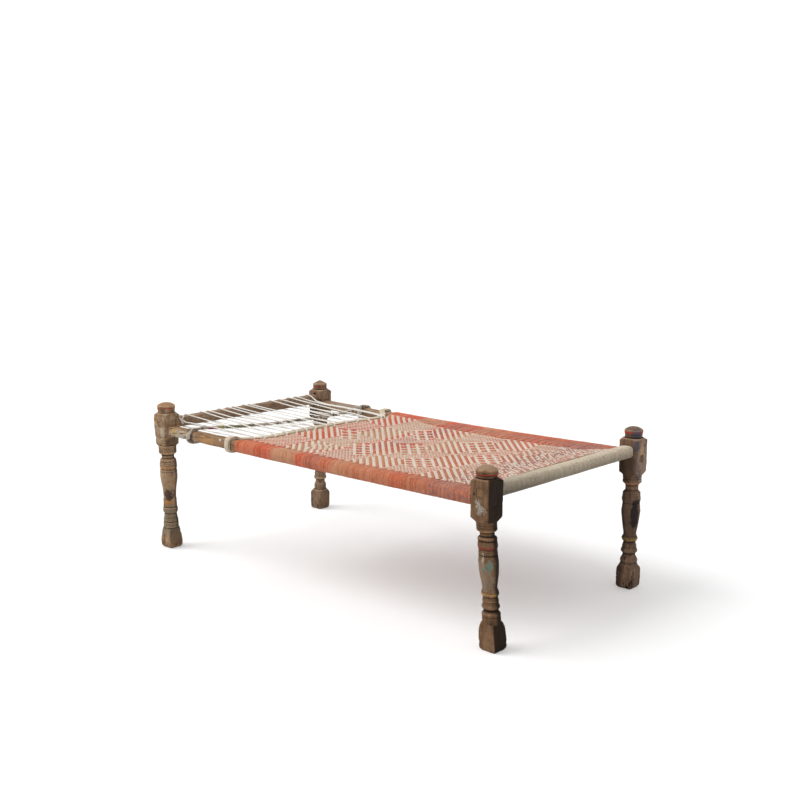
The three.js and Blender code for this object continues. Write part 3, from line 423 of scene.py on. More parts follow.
def dyed_cord(fade, blue):
    """Cross cords: the dyed bands, faded towards cream, with blue-grey flecks near the head."""

    def colouring(nodes, place, shade):
        colour = nodes.group(BANDS, {"Place": place})["Colour"]
        share = nodes.plus(nodes.times(nodes.patches(place, 9, 0.5, 0.16), 0.14), fade)
        share = nodes.plus(share, nodes.times(nodes.minus(shade, 0.5), 0.3), clamp=True)
        colour = nodes.mix(share, colour, (0.78, 0.50, 0.36))
        headward = nodes.times(nodes.step(nodes.split(place)["X"], 0.48, 0.70), blue)
        colour = nodes.paint(colour, headward, nodes.patches(place, 160, 0.47), GREY_BLUE)
        for size, cover, strength, paint in STREAKS:
            drawn_out = nodes.scaled(place, (1, 0.30, 0.30), (size, 7, 3))
            colour = nodes.paint(colour, nodes.patches(drawn_out, size, cover), strength, paint)
        dark = nodes.times(nodes.step(shade, 0.55, 0.0), 0.20)
        return nodes.mix(dark, colour, (0.36, 0.12, 0.07), "MULTIPLY")

    return colouring


def plain_cord(light, dark, flecks=(), specks=0.0, low_near_shade=0.0, rags=()):
    """Undyed cord, with slow changes of tone, and flecks of another colour where given. Specks of
    grey-blue lie near the head, and painted shade darkens it low down and towards the near side.
    Rags are coloured threads worked in at a place, with their reach."""

    def colouring(nodes, place, shade):
        slow = nodes.times(nodes.noise(place, 7, 3), 0.6)
        share = nodes.plus(slow, nodes.times(shade, 0.5), clamp=True)
        colour = nodes.mix(share, dark, light)
        parts = nodes.split(place)
        if specks:
            headward = nodes.times(nodes.step(parts["X"], 0.46, 0.68), specks)
            colour = nodes.paint(colour, nodes.patches(place, 170, 0.43), headward, GREY_BLUE)
        # Painted shade: darker low down and towards the near side.
        if low_near_shade:
            low = nodes.times(nodes.step(parts["Z"], 0.545, 0.512), 0.7)
            nearer = nodes.times(nodes.step(parts["Y"], 0.0, -0.40), 0.55)
            cover = nodes.times(nodes.plus(low, nearer), low_near_shade, clamp=True)
            colour = nodes.mix(cover, colour, toned(dark, 0.55))
        for size, cover, strength, paint in flecks:
            colour = nodes.paint(colour, nodes.patches(place, size, cover), strength, paint)
        for centre, reach, paint in rags:
            mask = nodes.spot(place, centre, (reach, reach, 0.03), 1.4, 160)
            colour = nodes.paint(colour, mask, 0.85, paint)
        return colour

    return colouring


# Pieces
CORD_SIDES = 6
POINTS_A_TURN = 12
CORD_CLEARANCE = 0.0003


def coordinates(mesh, kind=np.float32):
    places = np.empty(len(mesh.vertices) * 3, kind)
    mesh.vertices.foreach_get("co", places)
    return places.reshape(-1, 3)


def settle(places):
    """Between the legs the bed hangs a little lower towards its middle, more so on the far side."""
    along, across, _ = places.T
    depth = SETTLE_NEAR + (SETTLE_FAR - SETTLE_NEAR) * (1 + across / HALF_WIDTH) / 2
    places[:, 2] -= depth * np.maximum(0, 1 - (along / (HALF_LENGTH - BLOCK_SIDE / 2)) ** 2)


def draw_up(places):
    """The lacing draws the border rope and the weave's end a little up and towards the foot."""
    along, across, _ = places.T
    middle = np.maximum(0, 1 - (across / 0.40) ** 2) * (1 + across)
    share = middle * np.exp(-(((along + 0.34) / 0.13) ** 2))
    places[:, 0] -= DRAWN_ALONG * share
    places[:, 2] += DRAWN_UP * share


def add_piece(name, mesh, material, slot, *nodes):
    """Puts a mesh in the scene as a piece of the bed that stands for these CAD nodes."""
    mesh.name = name
    places = coordinates(mesh)
    if slot != "leg_wood":
        settle(places)
    if nodes[0] in ("woven_seat", "border_rope", "cross_rope", "lacing_cord"):
        draw_up(places)
    mesh.vertices.foreach_set("co", places.ravel())
    mesh.transform(Matrix.Translation(OUTLINE_SHIFT))
    mesh.materials.clear()
    mesh.materials.append(material)
    mesh.shade_smooth()
    piece = place_object(name, mesh)
    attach(piece, "root")
    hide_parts(*nodes)


def mesh_of(bm):
    mesh = bpy.data.meshes.new("mesh")
    bm.to_mesh(mesh)
    bm.free()
    return mesh


def set_values(mesh, name, values):
    kept = mesh.attributes.new(name, "FLOAT", "POINT")
    kept.data.foreach_set("value", np.asarray(values, np.float32))


def evaluated(made):
    """The mesh of an object as it stands, with its bevel or its modifiers."""
    graph = bpy.context.evaluated_depsgraph_get()
    return bpy.data.meshes.new_from_object(made.evaluated_get(graph))


def lengths_along(path):
    """How far each point of a path is from its start."""
    return np.r_[0, np.cumsum(np.linalg.norm(np.diff(path, axis=0), axis=1))]


def unit_rows(rows):
    return rows / np.linalg.norm(rows, axis=1)[:, None]


def cord_mesh(paths, radius, shades, thickness=None):
    """Round cords along paths. Each point keeps its cord's shade, how far along it is and how
    far round."""
    curve = bpy.data.curves.new("cord", "CURVE")
    curve.dimensions = "3D"
    curve.bevel_depth = radius
    curve.bevel_resolution = (CORD_SIDES - 4) // 2
    for number, path in enumerate(paths):
        spline = curve.splines.new("POLY")
        spline.points.add(len(path) - 1)
        spline.points.foreach_set("co", np.c_[path, np.ones(len(path))].astype(np.float32).ravel())
        if thickness is not None:
            spline.points.foreach_set("radius", np.asarray(thickness[number], np.float32))
    holder = place_object("cord", curve)
    mesh = evaluated(holder)
    bpy.data.objects.remove(holder)
    bpy.data.curves.remove(curve)
    round_cord = np.arange(CORD_SIDES) * 2 * math.pi / CORD_SIDES
    turn = np.concatenate([np.tile(round_cord, len(path)) for path in paths])
    along = [np.repeat(lengths_along(path), CORD_SIDES) for path in paths]
    shade = [
        np.repeat(np.broadcast_to(own, len(path)), CORD_SIDES) for path, own in zip(paths, shades)
    ]
    set_values(mesh, "along", np.concatenate(along))
    set_values(mesh, "round_cos", np.cos(turn))
    set_values(mesh, "round_sin", np.sin(turn))
    set_values(mesh, "shade", np.concatenate(shade))
    bm = bmesh.new()
    bm.from_mesh(mesh)
    open_edges = [edge for edge in bm.edges if edge.is_boundary]
    bmesh.ops.holes_fill(bm, edges=open_edges, sides=CORD_SIDES)
    bm.to_mesh(mesh)
    bm.free()
    return mesh


def value_at(rows, place):
    places, values = zip(*rows)
    return np.interp(place, places, values)


def evenly(path, step):
    """The same path with points an even step apart."""
    lengths = lengths_along(path)
    places = np.linspace(0, lengths[-1], max(2, int(round(lengths[-1] / step)) + 1))
    return np.stack([np.interp(places, lengths, path[:, i]) for i in range(3)], axis=1)


def rounded(path, times=2):
    """The same path with its corners cut, again and again."""
    path = np.asarray(path, float)
    for _ in range(times):
        before, after = path[:-1], path[1:]
        cut = [0.75 * before + 0.25 * after, 0.25 * before + 0.75 * after]
        path = np.vstack([path[:1], np.stack(cut, axis=1).reshape(-1, 3), path[-1:]])
    return path


def twisted(path, reach, pitch, phase=0.0):
    """Paths of the two plies that wind round a path, with so many points to a turn."""
    line = evenly(path, pitch / POINTS_A_TURN)
    ahead = unit_rows(np.gradient(line, axis=0))
    side = np.cross(ahead[0], (0.3, 0.5, 0.81))
    sides = []
    for direction in ahead:
        side = side - direction * side.dot(direction)
        side = side / np.linalg.norm(side)
        sides.append(side)
    sides = np.array(sides)
    ups = np.cross(ahead, sides)
    turn = (np.arange(len(line)) * 2 * math.pi / POINTS_A_TURN + phase)[:, None]
    return [
        line + reach * (np.cos(turn + start) * sides + np.sin(turn + start) * ups)
        for start in (0, math.pi)
    ]


def box_reach(half_wide, half_tall, power, angles):
    """Distance from the middle to the outline of a rounded box, in each direction."""
    wide = np.abs(np.cos(angles) / half_wide) ** power
    tall = np.abs(np.sin(angles) / half_tall) ** power
    return (wide + tall) ** (-1 / power)


# Legs. Each point of an outline is its height in thousandths of the leg and its half width in
# thousandths of the block's side. Hoof and block are square, turning and cap are round.
HEAD_NEAR_TURNING = [
    (152.5, 450), (163, 442), (205, 440), (211.5, 405), (222.4, 343), (228, 354), (233.5, 391),
    (242, 422), (250, 410), (256, 382), (263, 370), (275, 381), (282, 373), (291, 350),
    (298.5, 357), (304, 381), (312, 415), (320.5, 414), (331, 384), (342, 355), (369, 378),
    (413, 434), (435, 453), (468, 469), (490, 472), (505, 459), (521, 448), (537, 446),
    (550, 438), (563, 456), (579, 472), (590, 455), (600, 446), (611, 453), (618, 440),
    (623.5, 375), (630, 342), (647, 342), (653, 430), (660, 482), (690, 484), (705.5, 502),
]
HEAD_FAR_TURNING = [
    (143.5, 474), (161, 444), (173, 459), (180, 452), (192, 395), (203, 345), (213, 333),
    (218, 348), (223.5, 405), (229, 437), (237, 436), (248, 395), (267, 375), (280, 331),
    (287, 325), (298.5, 400), (308, 428), (317, 408), (330, 352), (336.5, 343), (348.6, 352),
    (380, 399), (417.5, 445), (455, 484), (474, 502), (483, 505), (499, 486), (510, 485),
    (522, 464), (531, 464), (549, 501), (557, 501), (580, 471), (593, 479), (599, 430),
    (607, 370), (613, 342), (636, 342), (649, 413), (656, 487), (662, 502), (674, 497),
    (705.5, 518),
]
FOOT_FAR_TURNING = [(150.5, 420), (157, 402), (189, 400), (197, 370), (213, 311), (229, 303)]
FOOT_FAR_TURNING += [row for row in HEAD_NEAR_TURNING if row[0] > 229]
BLOCK = [(707, 522), (722, 527), (930, 538)]
ROUND_CAP = [
    (931.5, 482), (945, 478), (953, 500), (966, 520), (972, 518), (986, 380), (995, 210),
    (1000, 0),
]
WORN_CAP = [
    (931.5, 462), (945, 462), (958, 478), (970, 494), (977, 484), (988, 360), (995, 210),
    (1000, 0),
]
POINTED_CAP = [
    (931.5, 478), (940, 462), (956, 452), (963, 466), (972, 462), (985, 270), (993, 140),
    (1000, 0),
]
FOOT_NEAR_TURNING = [
    (142, 430), (148, 445), (162.5, 443), (170, 452), (190, 437), (218, 392), (225, 382),
    (239, 389), (246, 404), (253, 429), (260, 441), (274, 441), (288, 414), (300, 398),
    (322.5, 390), (336.5, 397), (350, 370), (378, 383), (406, 400), (434, 435), (462, 476),
    (484, 498), (504, 508), (518, 502), (539, 506), (545.5, 488), (552.5, 484), (566.5, 509),
    (587, 506), (594, 492), (611.5, 474), (619, 422), (628, 366), (643, 363), (650, 396),
    (657, 482), (664, 520), (685, 518), (711, 530),
]
# From the floor up: hoof, turning, block and cap.
LEG_OUTLINES = {
    "leg_head_near": (
        [(0, 370), (8, 430), (20, 458), (70, 466), (151, 464)],
        HEAD_NEAR_TURNING, BLOCK, ROUND_CAP,
    ),
    "leg_head_far": (
        [(0, 380), (8, 440), (20, 468), (60, 475), (142, 476)],
        HEAD_FAR_TURNING, BLOCK, WORN_CAP,
    ),
    "leg_foot_near": (
        [(0, 360), (8, 420), (24, 456), (44, 462), (70, 447), (113, 402), (140, 386)],
        FOOT_NEAR_TURNING,
        [(712.5, 480), (728, 484), (935, 544)],
        [
            (936.5, 500), (950, 490), (958, 506), (968, 521), (982, 524), (993, 400), (1001, 240),
            (1006, 0),
        ],
    ),
    "leg_foot_far": (
        [(0, 370), (8, 430), (20, 446), (60, 459), (149, 462)],
        FOOT_FAR_TURNING, BLOCK, POINTED_CAP,
    ),
}
LEG_SIDES = 96
LEG_STEP = 0.0011

# In millimetres. Shoulders: how far out the lathe left the corners of hoof and block, as height
# and reach. Grooves: height, depth and half height of each cut. Notched: rings carved all round,
# as their lower and upper height and the notches' depth, and then the number of notches. The
# foot's lean is a share of the leg's height.
LEGS = {
    "leg_head_near": {
        "end": 1, "side": -1, "foot": (0.0203, 0.0458),
        "shoulders": [
            (48, 60), (50, 45), (70, 43.4), (77, 42.2), (84, 40), (90, 37.6), (94.7, 35.2),
            (94.9, 60), (436, 60), (436.5, 36.2), (443, 42), (450, 52), (450.5, 60), (568.5, 60),
            (569, 52), (572.5, 44), (578.5, 36.2), (579, 60),
        ],
        "grooves": [
            (425.5, 1.3, 1.3), (418, 1.3, 1.3), (371.5, 1.1, 1.2), (365.5, 0.8, 1),
            (360.5, 1.1, 1.1), (345, 1.8, 2), (337, 1, 1), (325.5, 1, 1), (198.5, 0.8, 1.1),
            (183, 1, 1.2), (175, 1.1, 1.2), (167, 1.1, 1.2), (117, 1.5, 1.6), (589, 1.2, 1.4),
            (580, 1, 1.4),
        ],
        "notched": [((371.5, 380.5, 2.4), 24), ((322.5, 332, 2.2), 24), ((137, 148, 2.2), 22)],
    },
    "leg_head_far": {
        "end": 1, "side": 1, "foot": (0.001, -0.0147),
        "shoulders": [
            (68, 60), (70, 46.5), (76, 44.6), (80, 41.8), (84, 37), (89.1, 34.5), (89.3, 60),
            (436, 60), (436.5, 37), (442, 42), (448, 52), (448.5, 60), (568.5, 60), (569, 52),
            (572.5, 44), (578.5, 36.2), (579, 60),
        ],
        "grooves": [
            (431, 1, 1.3), (422, 1.3, 1.4), (365, 1.2, 1.4), (338, 1.2, 1.4), (329, 1.2, 1.3),
            (318, 1, 1.3), (201, 0.8, 1.2), (168, 1, 1.3), (159, 1, 1.3), (113, 1.2, 1.5),
            (97, 1.2, 1.6), (589, 1.2, 1.4), (581, 1, 1.4),
        ],
        "notched": [((366, 374, 1.8), 20), ((186, 195, 1.4), 18), ((138, 148, 1.4), 18)],
    },
    "leg_foot_near": {
        "end": -1, "side": -1, "foot": (-0.0021, 0.013),
        "shoulders": [
            (68, 60), (70, 38.8), (79, 36.6), (88.2, 33), (88.4, 60), (439.5, 60), (440, 37.6),
            (445, 43), (450, 50), (450.5, 60), (571, 60), (571.5, 52), (575.5, 44), (581.5, 36.6),
            (582, 60),
        ],
        "grooves": [
            (373, 1.5, 1.6), (364.5, 1.4, 1.5), (357, 1.3, 1.5), (339.5, 1.2, 1.6), (176, 3, 2.3),
            (148, 2.8, 2.3), (129, 1.2, 1.6), (112, 2.8, 2.2), (428, 0.8, 1.2), (418, 0.9, 1.2),
        ],
        "notched": [((327, 336, 1.4), 22)],
    },
    "leg_foot_far": {
        "end": -1, "side": 1, "foot": (-0.0027, -0.009),
        "shoulders": [
            (72, 60), (74, 45), (80, 43.2), (84, 40.6), (88, 36), (93.5, 32), (93.7, 60),
            (436, 60), (436.5, 37), (442, 42), (448, 52), (448.5, 60), (567.5, 60), (568, 52),
            (572.5, 44), (578.5, 35.2), (579, 60),
        ],
        "grooves": [(425.5, 1.2, 1.3), (418, 1.2, 1.3), (105, 1, 1.4)],
        "notched": [((112, 120, 1.2), 18)],
    },
}


def leg_rows(name):
    """A leg's outline: height, half width, and whether it is square there."""
    return np.array([
        (height * LEG_HEIGHT / 1000, half * BLOCK_SIDE / 1000, number % 2 == 0)
        for number, part in enumerate(LEG_OUTLINES[name]) for height, half in part
    ], float)


def leg_curve(name):
    """The outline turned on the lathe, rounded between its rows and grooved, in fine even steps."""
    rows = leg_rows(name)
    heights = np.linspace(0, rows[-1, 0], int(rows[-1, 0] / LEG_STEP))
    slopes = np.diff(rows[:, 1]) / np.diff(rows[:, 0])
    before, after = slopes[:-1], slopes[1:]
    bends = np.zeros(len(rows))
    same = before * after > 0
    bends[1:-1] = np.where(same, 2 * before * after / np.where(same, before + after, 1), 0)
    place = np.clip(np.searchsorted(rows[:, 0], heights, side="right") - 1, 0, len(rows) - 2)
    gap = rows[place + 1, 0] - rows[place, 0]
    t = (heights - rows[place, 0]) / gap
    half = (
        (2 * t**3 - 3 * t**2 + 1) * rows[place, 1] + (t**3 - 2 * t**2 + t) * gap * bends[place]
        + (3 * t**2 - 2 * t**3) * rows[place + 1, 1] + (t**3 - t**2) * gap * bends[place + 1]
    )
    for height, depth, reach in map(metres, LEGS[name]["grooves"]):
        half -= depth * np.exp(-(((heights - height) / reach) ** 2))
    half[-1] = 0
    return heights, half, np.interp(heights, rows[:, 0], rows[:, 2])


def lean(name, height):
    """How far a leg's middle stands from the block's middle, below the block."""
    below = np.maximum(0, 1 - np.asarray(height) / BLOCK_BOTTOM)[..., None]
    return below * np.array(LEGS[name]["foot"]) * LEG_HEIGHT


def rings_of(name):
    """The notched rings of a leg: lower and upper height, number of notches and their depth."""
    for ring, count in LEGS[name]["notched"]:
        low, high, depth = metres(ring)
        yield low, high, count, depth


def tooth_gap(low, high, count, angle, height):
    """Where a ring is notched: teeth that point down, with gaps between them, as a share of the
    cut."""
    gap = np.cos(count * np.asarray(angle) / 2) ** 2 - (height - low) / (high - low)
    return np.clip(gap * 5, 0, 1) * (height > low) * (height < high)


def leg_body(name):
    """A leg: its outline is spun round, its blocks are squared, and its rings are notched."""
    leg = LEGS[name]
    heights, half, square = leg_curve(name)
    shoulder_heights, shoulder_reaches = zip(*map(metres, leg["shoulders"]))
    rings = list(rings_of(name))
    bm = bmesh.new()
    outline = [bm.verts.new((reach, 0, height)) for height, reach in zip(heights, half)]
    outline.insert(0, bm.verts.new((0, 0, 0)))
    edges = [bm.edges.new(pair) for pair in zip(outline, outline[1:])]
    bmesh.ops.spin(
        bm, geom=outline + edges, cent=(0, 0, 0), axis=(0, 0, 1), angle=2 * math.pi,
        steps=LEG_SIDES, use_merge=True,
    )
    bmesh.ops.remove_doubles(bm, verts=bm.verts, dist=1e-5)
    middle = Vector((leg["end"] * HALF_LENGTH, leg["side"] * HALF_WIDTH, 0))
    seed = Vector((leg["end"] * 3.1, leg["side"] * 5.7, 0))
    for vertex in bm.verts:
        reach = math.hypot(vertex.co.x, vertex.co.y)
        height = vertex.co.z
        if reach > 1e-5:
            angle = math.atan2(vertex.co.y, vertex.co.x)
            squareness = float(np.interp(height, heights, square))
            power = 2 + 34 * squareness**2
            shaped = reach * float(box_reach(1, 1, power, np.array(angle)))
            shaped = min(shaped, float(np.interp(height, shoulder_heights, shoulder_reaches)))
            for low, high, count, depth in rings:
                if low < height < high:
                    shaped -= depth * float(tooth_gap(low, high, count, angle, height))
            spot = Vector((math.cos(angle) * 1.3, math.sin(angle) * 1.3, height * 14)) + seed
            uneven = noise.noise(spot * 1.7) * 0.0011 + noise.noise(spot * 5) * 0.0005
            worn = max(0.0, noise.noise(spot * Vector((1, 1, 1.6)) * 2.3 + seed) - 0.12)
            corner = max(0.0, shaped / reach - 1.2) / 0.2
            shaped += uneven * (0.5 + 0.6 * squareness) - corner * worn * 0.004
            vertex.co.x = shaped * math.cos(angle)
            vertex.co.y = shaped * math.sin(angle)
        vertex.co += middle + Vector((*lean(name, height), 0))
    bmesh.ops.recalc_face_normals(bm, faces=bm.faces)
    return mesh_of(bm)


def turned_places(name, mesh):
    """The height of each point of a leg and its angle round the leg's middle, in degrees."""
    places = coordinates(mesh, np.float64)
    shift = lean(name, places[:, 2])
    out = places[:, 0] - LEGS[name]["end"] * HALF_LENGTH - shift[:, 0]
    across = places[:, 1] - LEGS[name]["side"] * HALF_WIDTH - shift[:, 1]
    return places[:, 2], np.degrees(np.arctan2(across, out))


def recess_of(name, mesh):
    """How far each point lies in a hollow of the turning, or stands on an edge of it."""
    heights, half, _ = leg_curve(name)
    depth = np.zeros(len(half))
    for count, weight in ((15, 1), (7, 2)):
        padded = np.pad(half, count // 2, mode="edge")
        depth += weight * (np.convolve(padded, np.ones(count) / count, mode="valid") - half)
    height, angle = turned_places(name, mesh)
    recess = np.interp(height, heights, depth)
    # The notch gaps count as hollows here, so they get painted shade beneath the teeth.
    for low, high, count, cut in rings_of(name):
        recess += 1.6 * cut * tooth_gap(low, high, count, np.radians(angle), height)
    return recess * (height < heights[-1] - 0.012)


def shade_and_grime_of(name, mesh):
    """How dark a leg is with painted shade and some grime: on the side away from the foot for the
    near head leg, which is its side away from the light, and a little on the side towards the bed
    for two others."""
    height, angle = turned_places(name, mesh)
    if name == "leg_head_near":
        squared = (height > 0.4370) & (height < 0.577) | (height < 0.094)
        dark = np.where(squared, (angle + 46.5) / 3, 0.95 * (angle + 27) / 24)
        return np.clip(dark, 0, 0.95) * (angle < 130) * np.clip((0.588 - height) / 0.004, 0, 1)
    if name == "leg_head_far":
        return 0.62 * np.clip((-92 - angle) / 22, 0, 1) * (height < 0.52)
    if name == "leg_foot_near":
        turned = (height < 0.44) & (height > 0.088) & (angle < 120)
        return 0.65 * np.clip((angle - 2) / 20, 0, 1) * turned
    return np.zeros(len(height))


def block_half(name, height):
    rows = leg_rows(name)
    block = rows[(rows[:, 2] == 1) & (rows[:, 0] > BLOCK_BOTTOM - 0.001)]
    return float(np.interp(height, block[:, 0], block[:, 1]))


# Rails: straight bars, hewn by hand, with a tenon through the leg at each end.
SIDE_TENON = (0.48866, 0.515012)
END_TENON = (0.520512, 0.546286)
SIDE_RAIL = {
    "axis": 0, "centre": 0.50716, "tenon": SIDE_TENON, "size": (0.046, 0.040), "crown": 0,
}
RAILS = {
    "side_rail_near": {
        **SIDE_RAIL, "middle": -HALF_WIDTH, "ends": ("leg_foot_near", "leg_head_near"),
    },
    "side_rail_far": {
        **SIDE_RAIL, "middle": HALF_WIDTH, "ends": ("leg_foot_far", "leg_head_far"),
    },
    "head_rail": {
        "axis": 1, "middle": HALF_LENGTH, "centre": 0.530286, "tenon": END_TENON,
        "size": (0.047, 0.035), "crown": 0, "ends": ("leg_head_near", "leg_head_far"),
    },
    "foot_rail": {
        "axis": 1, "middle": -HALF_LENGTH, "centre": 0.533286, "tenon": END_TENON,
        "size": (0.047, 0.042), "crown": 0.001, "ends": ("leg_foot_near", "leg_foot_far"),
    },
}
TENON_HALF_WIDE = 0.013
RAIL_CORNER = 0.011
TENON_POWER = 14
TENON_BEVEL = 0.0008
RAIL_POWER = 4.3
RAIL_SIDES = 56
RAIL_STEP = 0.0075


def half_span(rail):
    return HALF_WIDTH if rail["axis"] else HALF_LENGTH


def rail_height(rail, place):
    return rail["centre"] + rail["crown"] * (1 - (place / half_span(rail)) ** 2)


def along_rail(rail, place, side, up):
    """A point at a place along a rail, to one side of its middle line, at a height."""
    side += rail["middle"]
    return Vector((side, place, up) if rail["axis"] else (place, side, up))


def rod(rings, sides, shape):
    """A closed rod. shape gives the place of the point at a ring and an angle round it."""
    bm = bmesh.new()
    bmesh.ops.create_cone(
        bm, cap_ends=True, cap_tris=False, segments=sides, radius1=1, radius2=1, depth=rings - 1
    )
    long_edges = [e for e in bm.edges if abs(e.verts[0].co.z - e.verts[1].co.z) > 0.5]
    bmesh.ops.subdivide_edges(bm, edges=long_edges, cuts=rings - 2)
    for vertex in bm.verts:
        ring = round(vertex.co.z + (rings - 1) / 2)
        vertex.co = shape(ring, math.atan2(vertex.co.y, vertex.co.x))
    bmesh.ops.recalc_face_normals(bm, faces=bm.faces)
    return mesh_of(bm)


def rail_body(name):
    """A rail from the end of one tenon to the end of the other, with a shoulder at each leg."""
    rail = RAILS[name]
    low, high = rail["tenon"]
    span = half_span(rail)
    near, far = (block_half(leg, (low + high) / 2) for leg in rail["ends"])
    near_shoulder, far_shoulder = -span + near + 0.0004, span - far - 0.0004
    near_end, far_end = -span - near + 0.0012, span + far - 0.0012
    body = np.linspace(near_shoulder, far_shoulder, int((far_shoulder - near_shoulder) / RAIL_STEP))
    places = [
        near_end, near_end + TENON_BEVEL, near_shoulder - 0.002, near_shoulder, *body,
        far_shoulder, far_shoulder + 0.002, far_end - TENON_BEVEL, far_end,
    ]
    seed = Vector((rail["middle"] * 40, rail["centre"] * 90, 3.3))

    def shape(ring, angle):
        place = places[ring]
        wide, tall = rail["size"]
        if 4 <= ring < len(places) - 4:
            distance = float(box_reach(wide / 2, tall / 2, RAIL_POWER, np.array(angle)))
            spot = Vector((math.cos(angle) * 1.1, math.sin(angle) * 1.1, place * 7)) + seed
            distance += noise.noise(spot) * 0.0012 + noise.noise(spot * 3.1) * 0.0007 - 0.0004
            height = rail_height(rail, place)
        else:
            inset = TENON_BEVEL if ring in (0, len(places) - 1) else 0
            half = TENON_HALF_WIDE - inset, (high - low) / 2 - inset
            distance = float(box_reach(*half, TENON_POWER, np.array(angle)))
            height = (low + high) / 2
        return along_rail(
            rail, place, distance * math.cos(angle), height + distance * math.sin(angle)
        )

    return rod(len(places), RAIL_SIDES, shape)


def mortise_cutter(rail, end):
    """A block the size of a rail's tenon and its clearance, long enough to pass through the leg."""
    low, high = rail["tenon"]
    wide, tall = 2 * TENON_HALF_WIDE + 0.0007, high - low + 0.0007
    size = (wide, 0.14, tall) if rail["axis"] else (0.14, wide, tall)
    bm = bmesh.new()
    bmesh.ops.create_cube(bm, size=1)
    bmesh.ops.scale(bm, vec=size, verts=bm.verts)
    place = along_rail(rail, end * half_span(rail), 0, (low + high) / 2)
    bmesh.ops.translate(bm, vec=place, verts=bm.verts)
    return place_object("cutter", mesh_of(bm))


def cut_mortises(name, mesh):
    """The leg with a mortise through its block for each rail that enters it."""
    leg = place_object("leg", mesh)
    used = [leg]
    for rail in RAILS.values():
        if name in rail["ends"]:
            cut = leg.modifiers.new("mortise", "BOOLEAN")
            cut.operation = "DIFFERENCE"
            cut.solver = "EXACT"
            cut.object = mortise_cutter(rail, 1 if rail["ends"].index(name) else -1)
            used.append(cut.object)
    bpy.context.view_layer.update()
    result = evaluated(leg)
    for made in used:
        bpy.data.objects.remove(made)
    return result


CHALK = (0.50, 0.50, 0.44)
OLD_RED = (0.33, 0.035, 0.028)
OCHRE = (0.42, 0.22, 0.07)
LEG_GRAIN = (50, 50, 8)

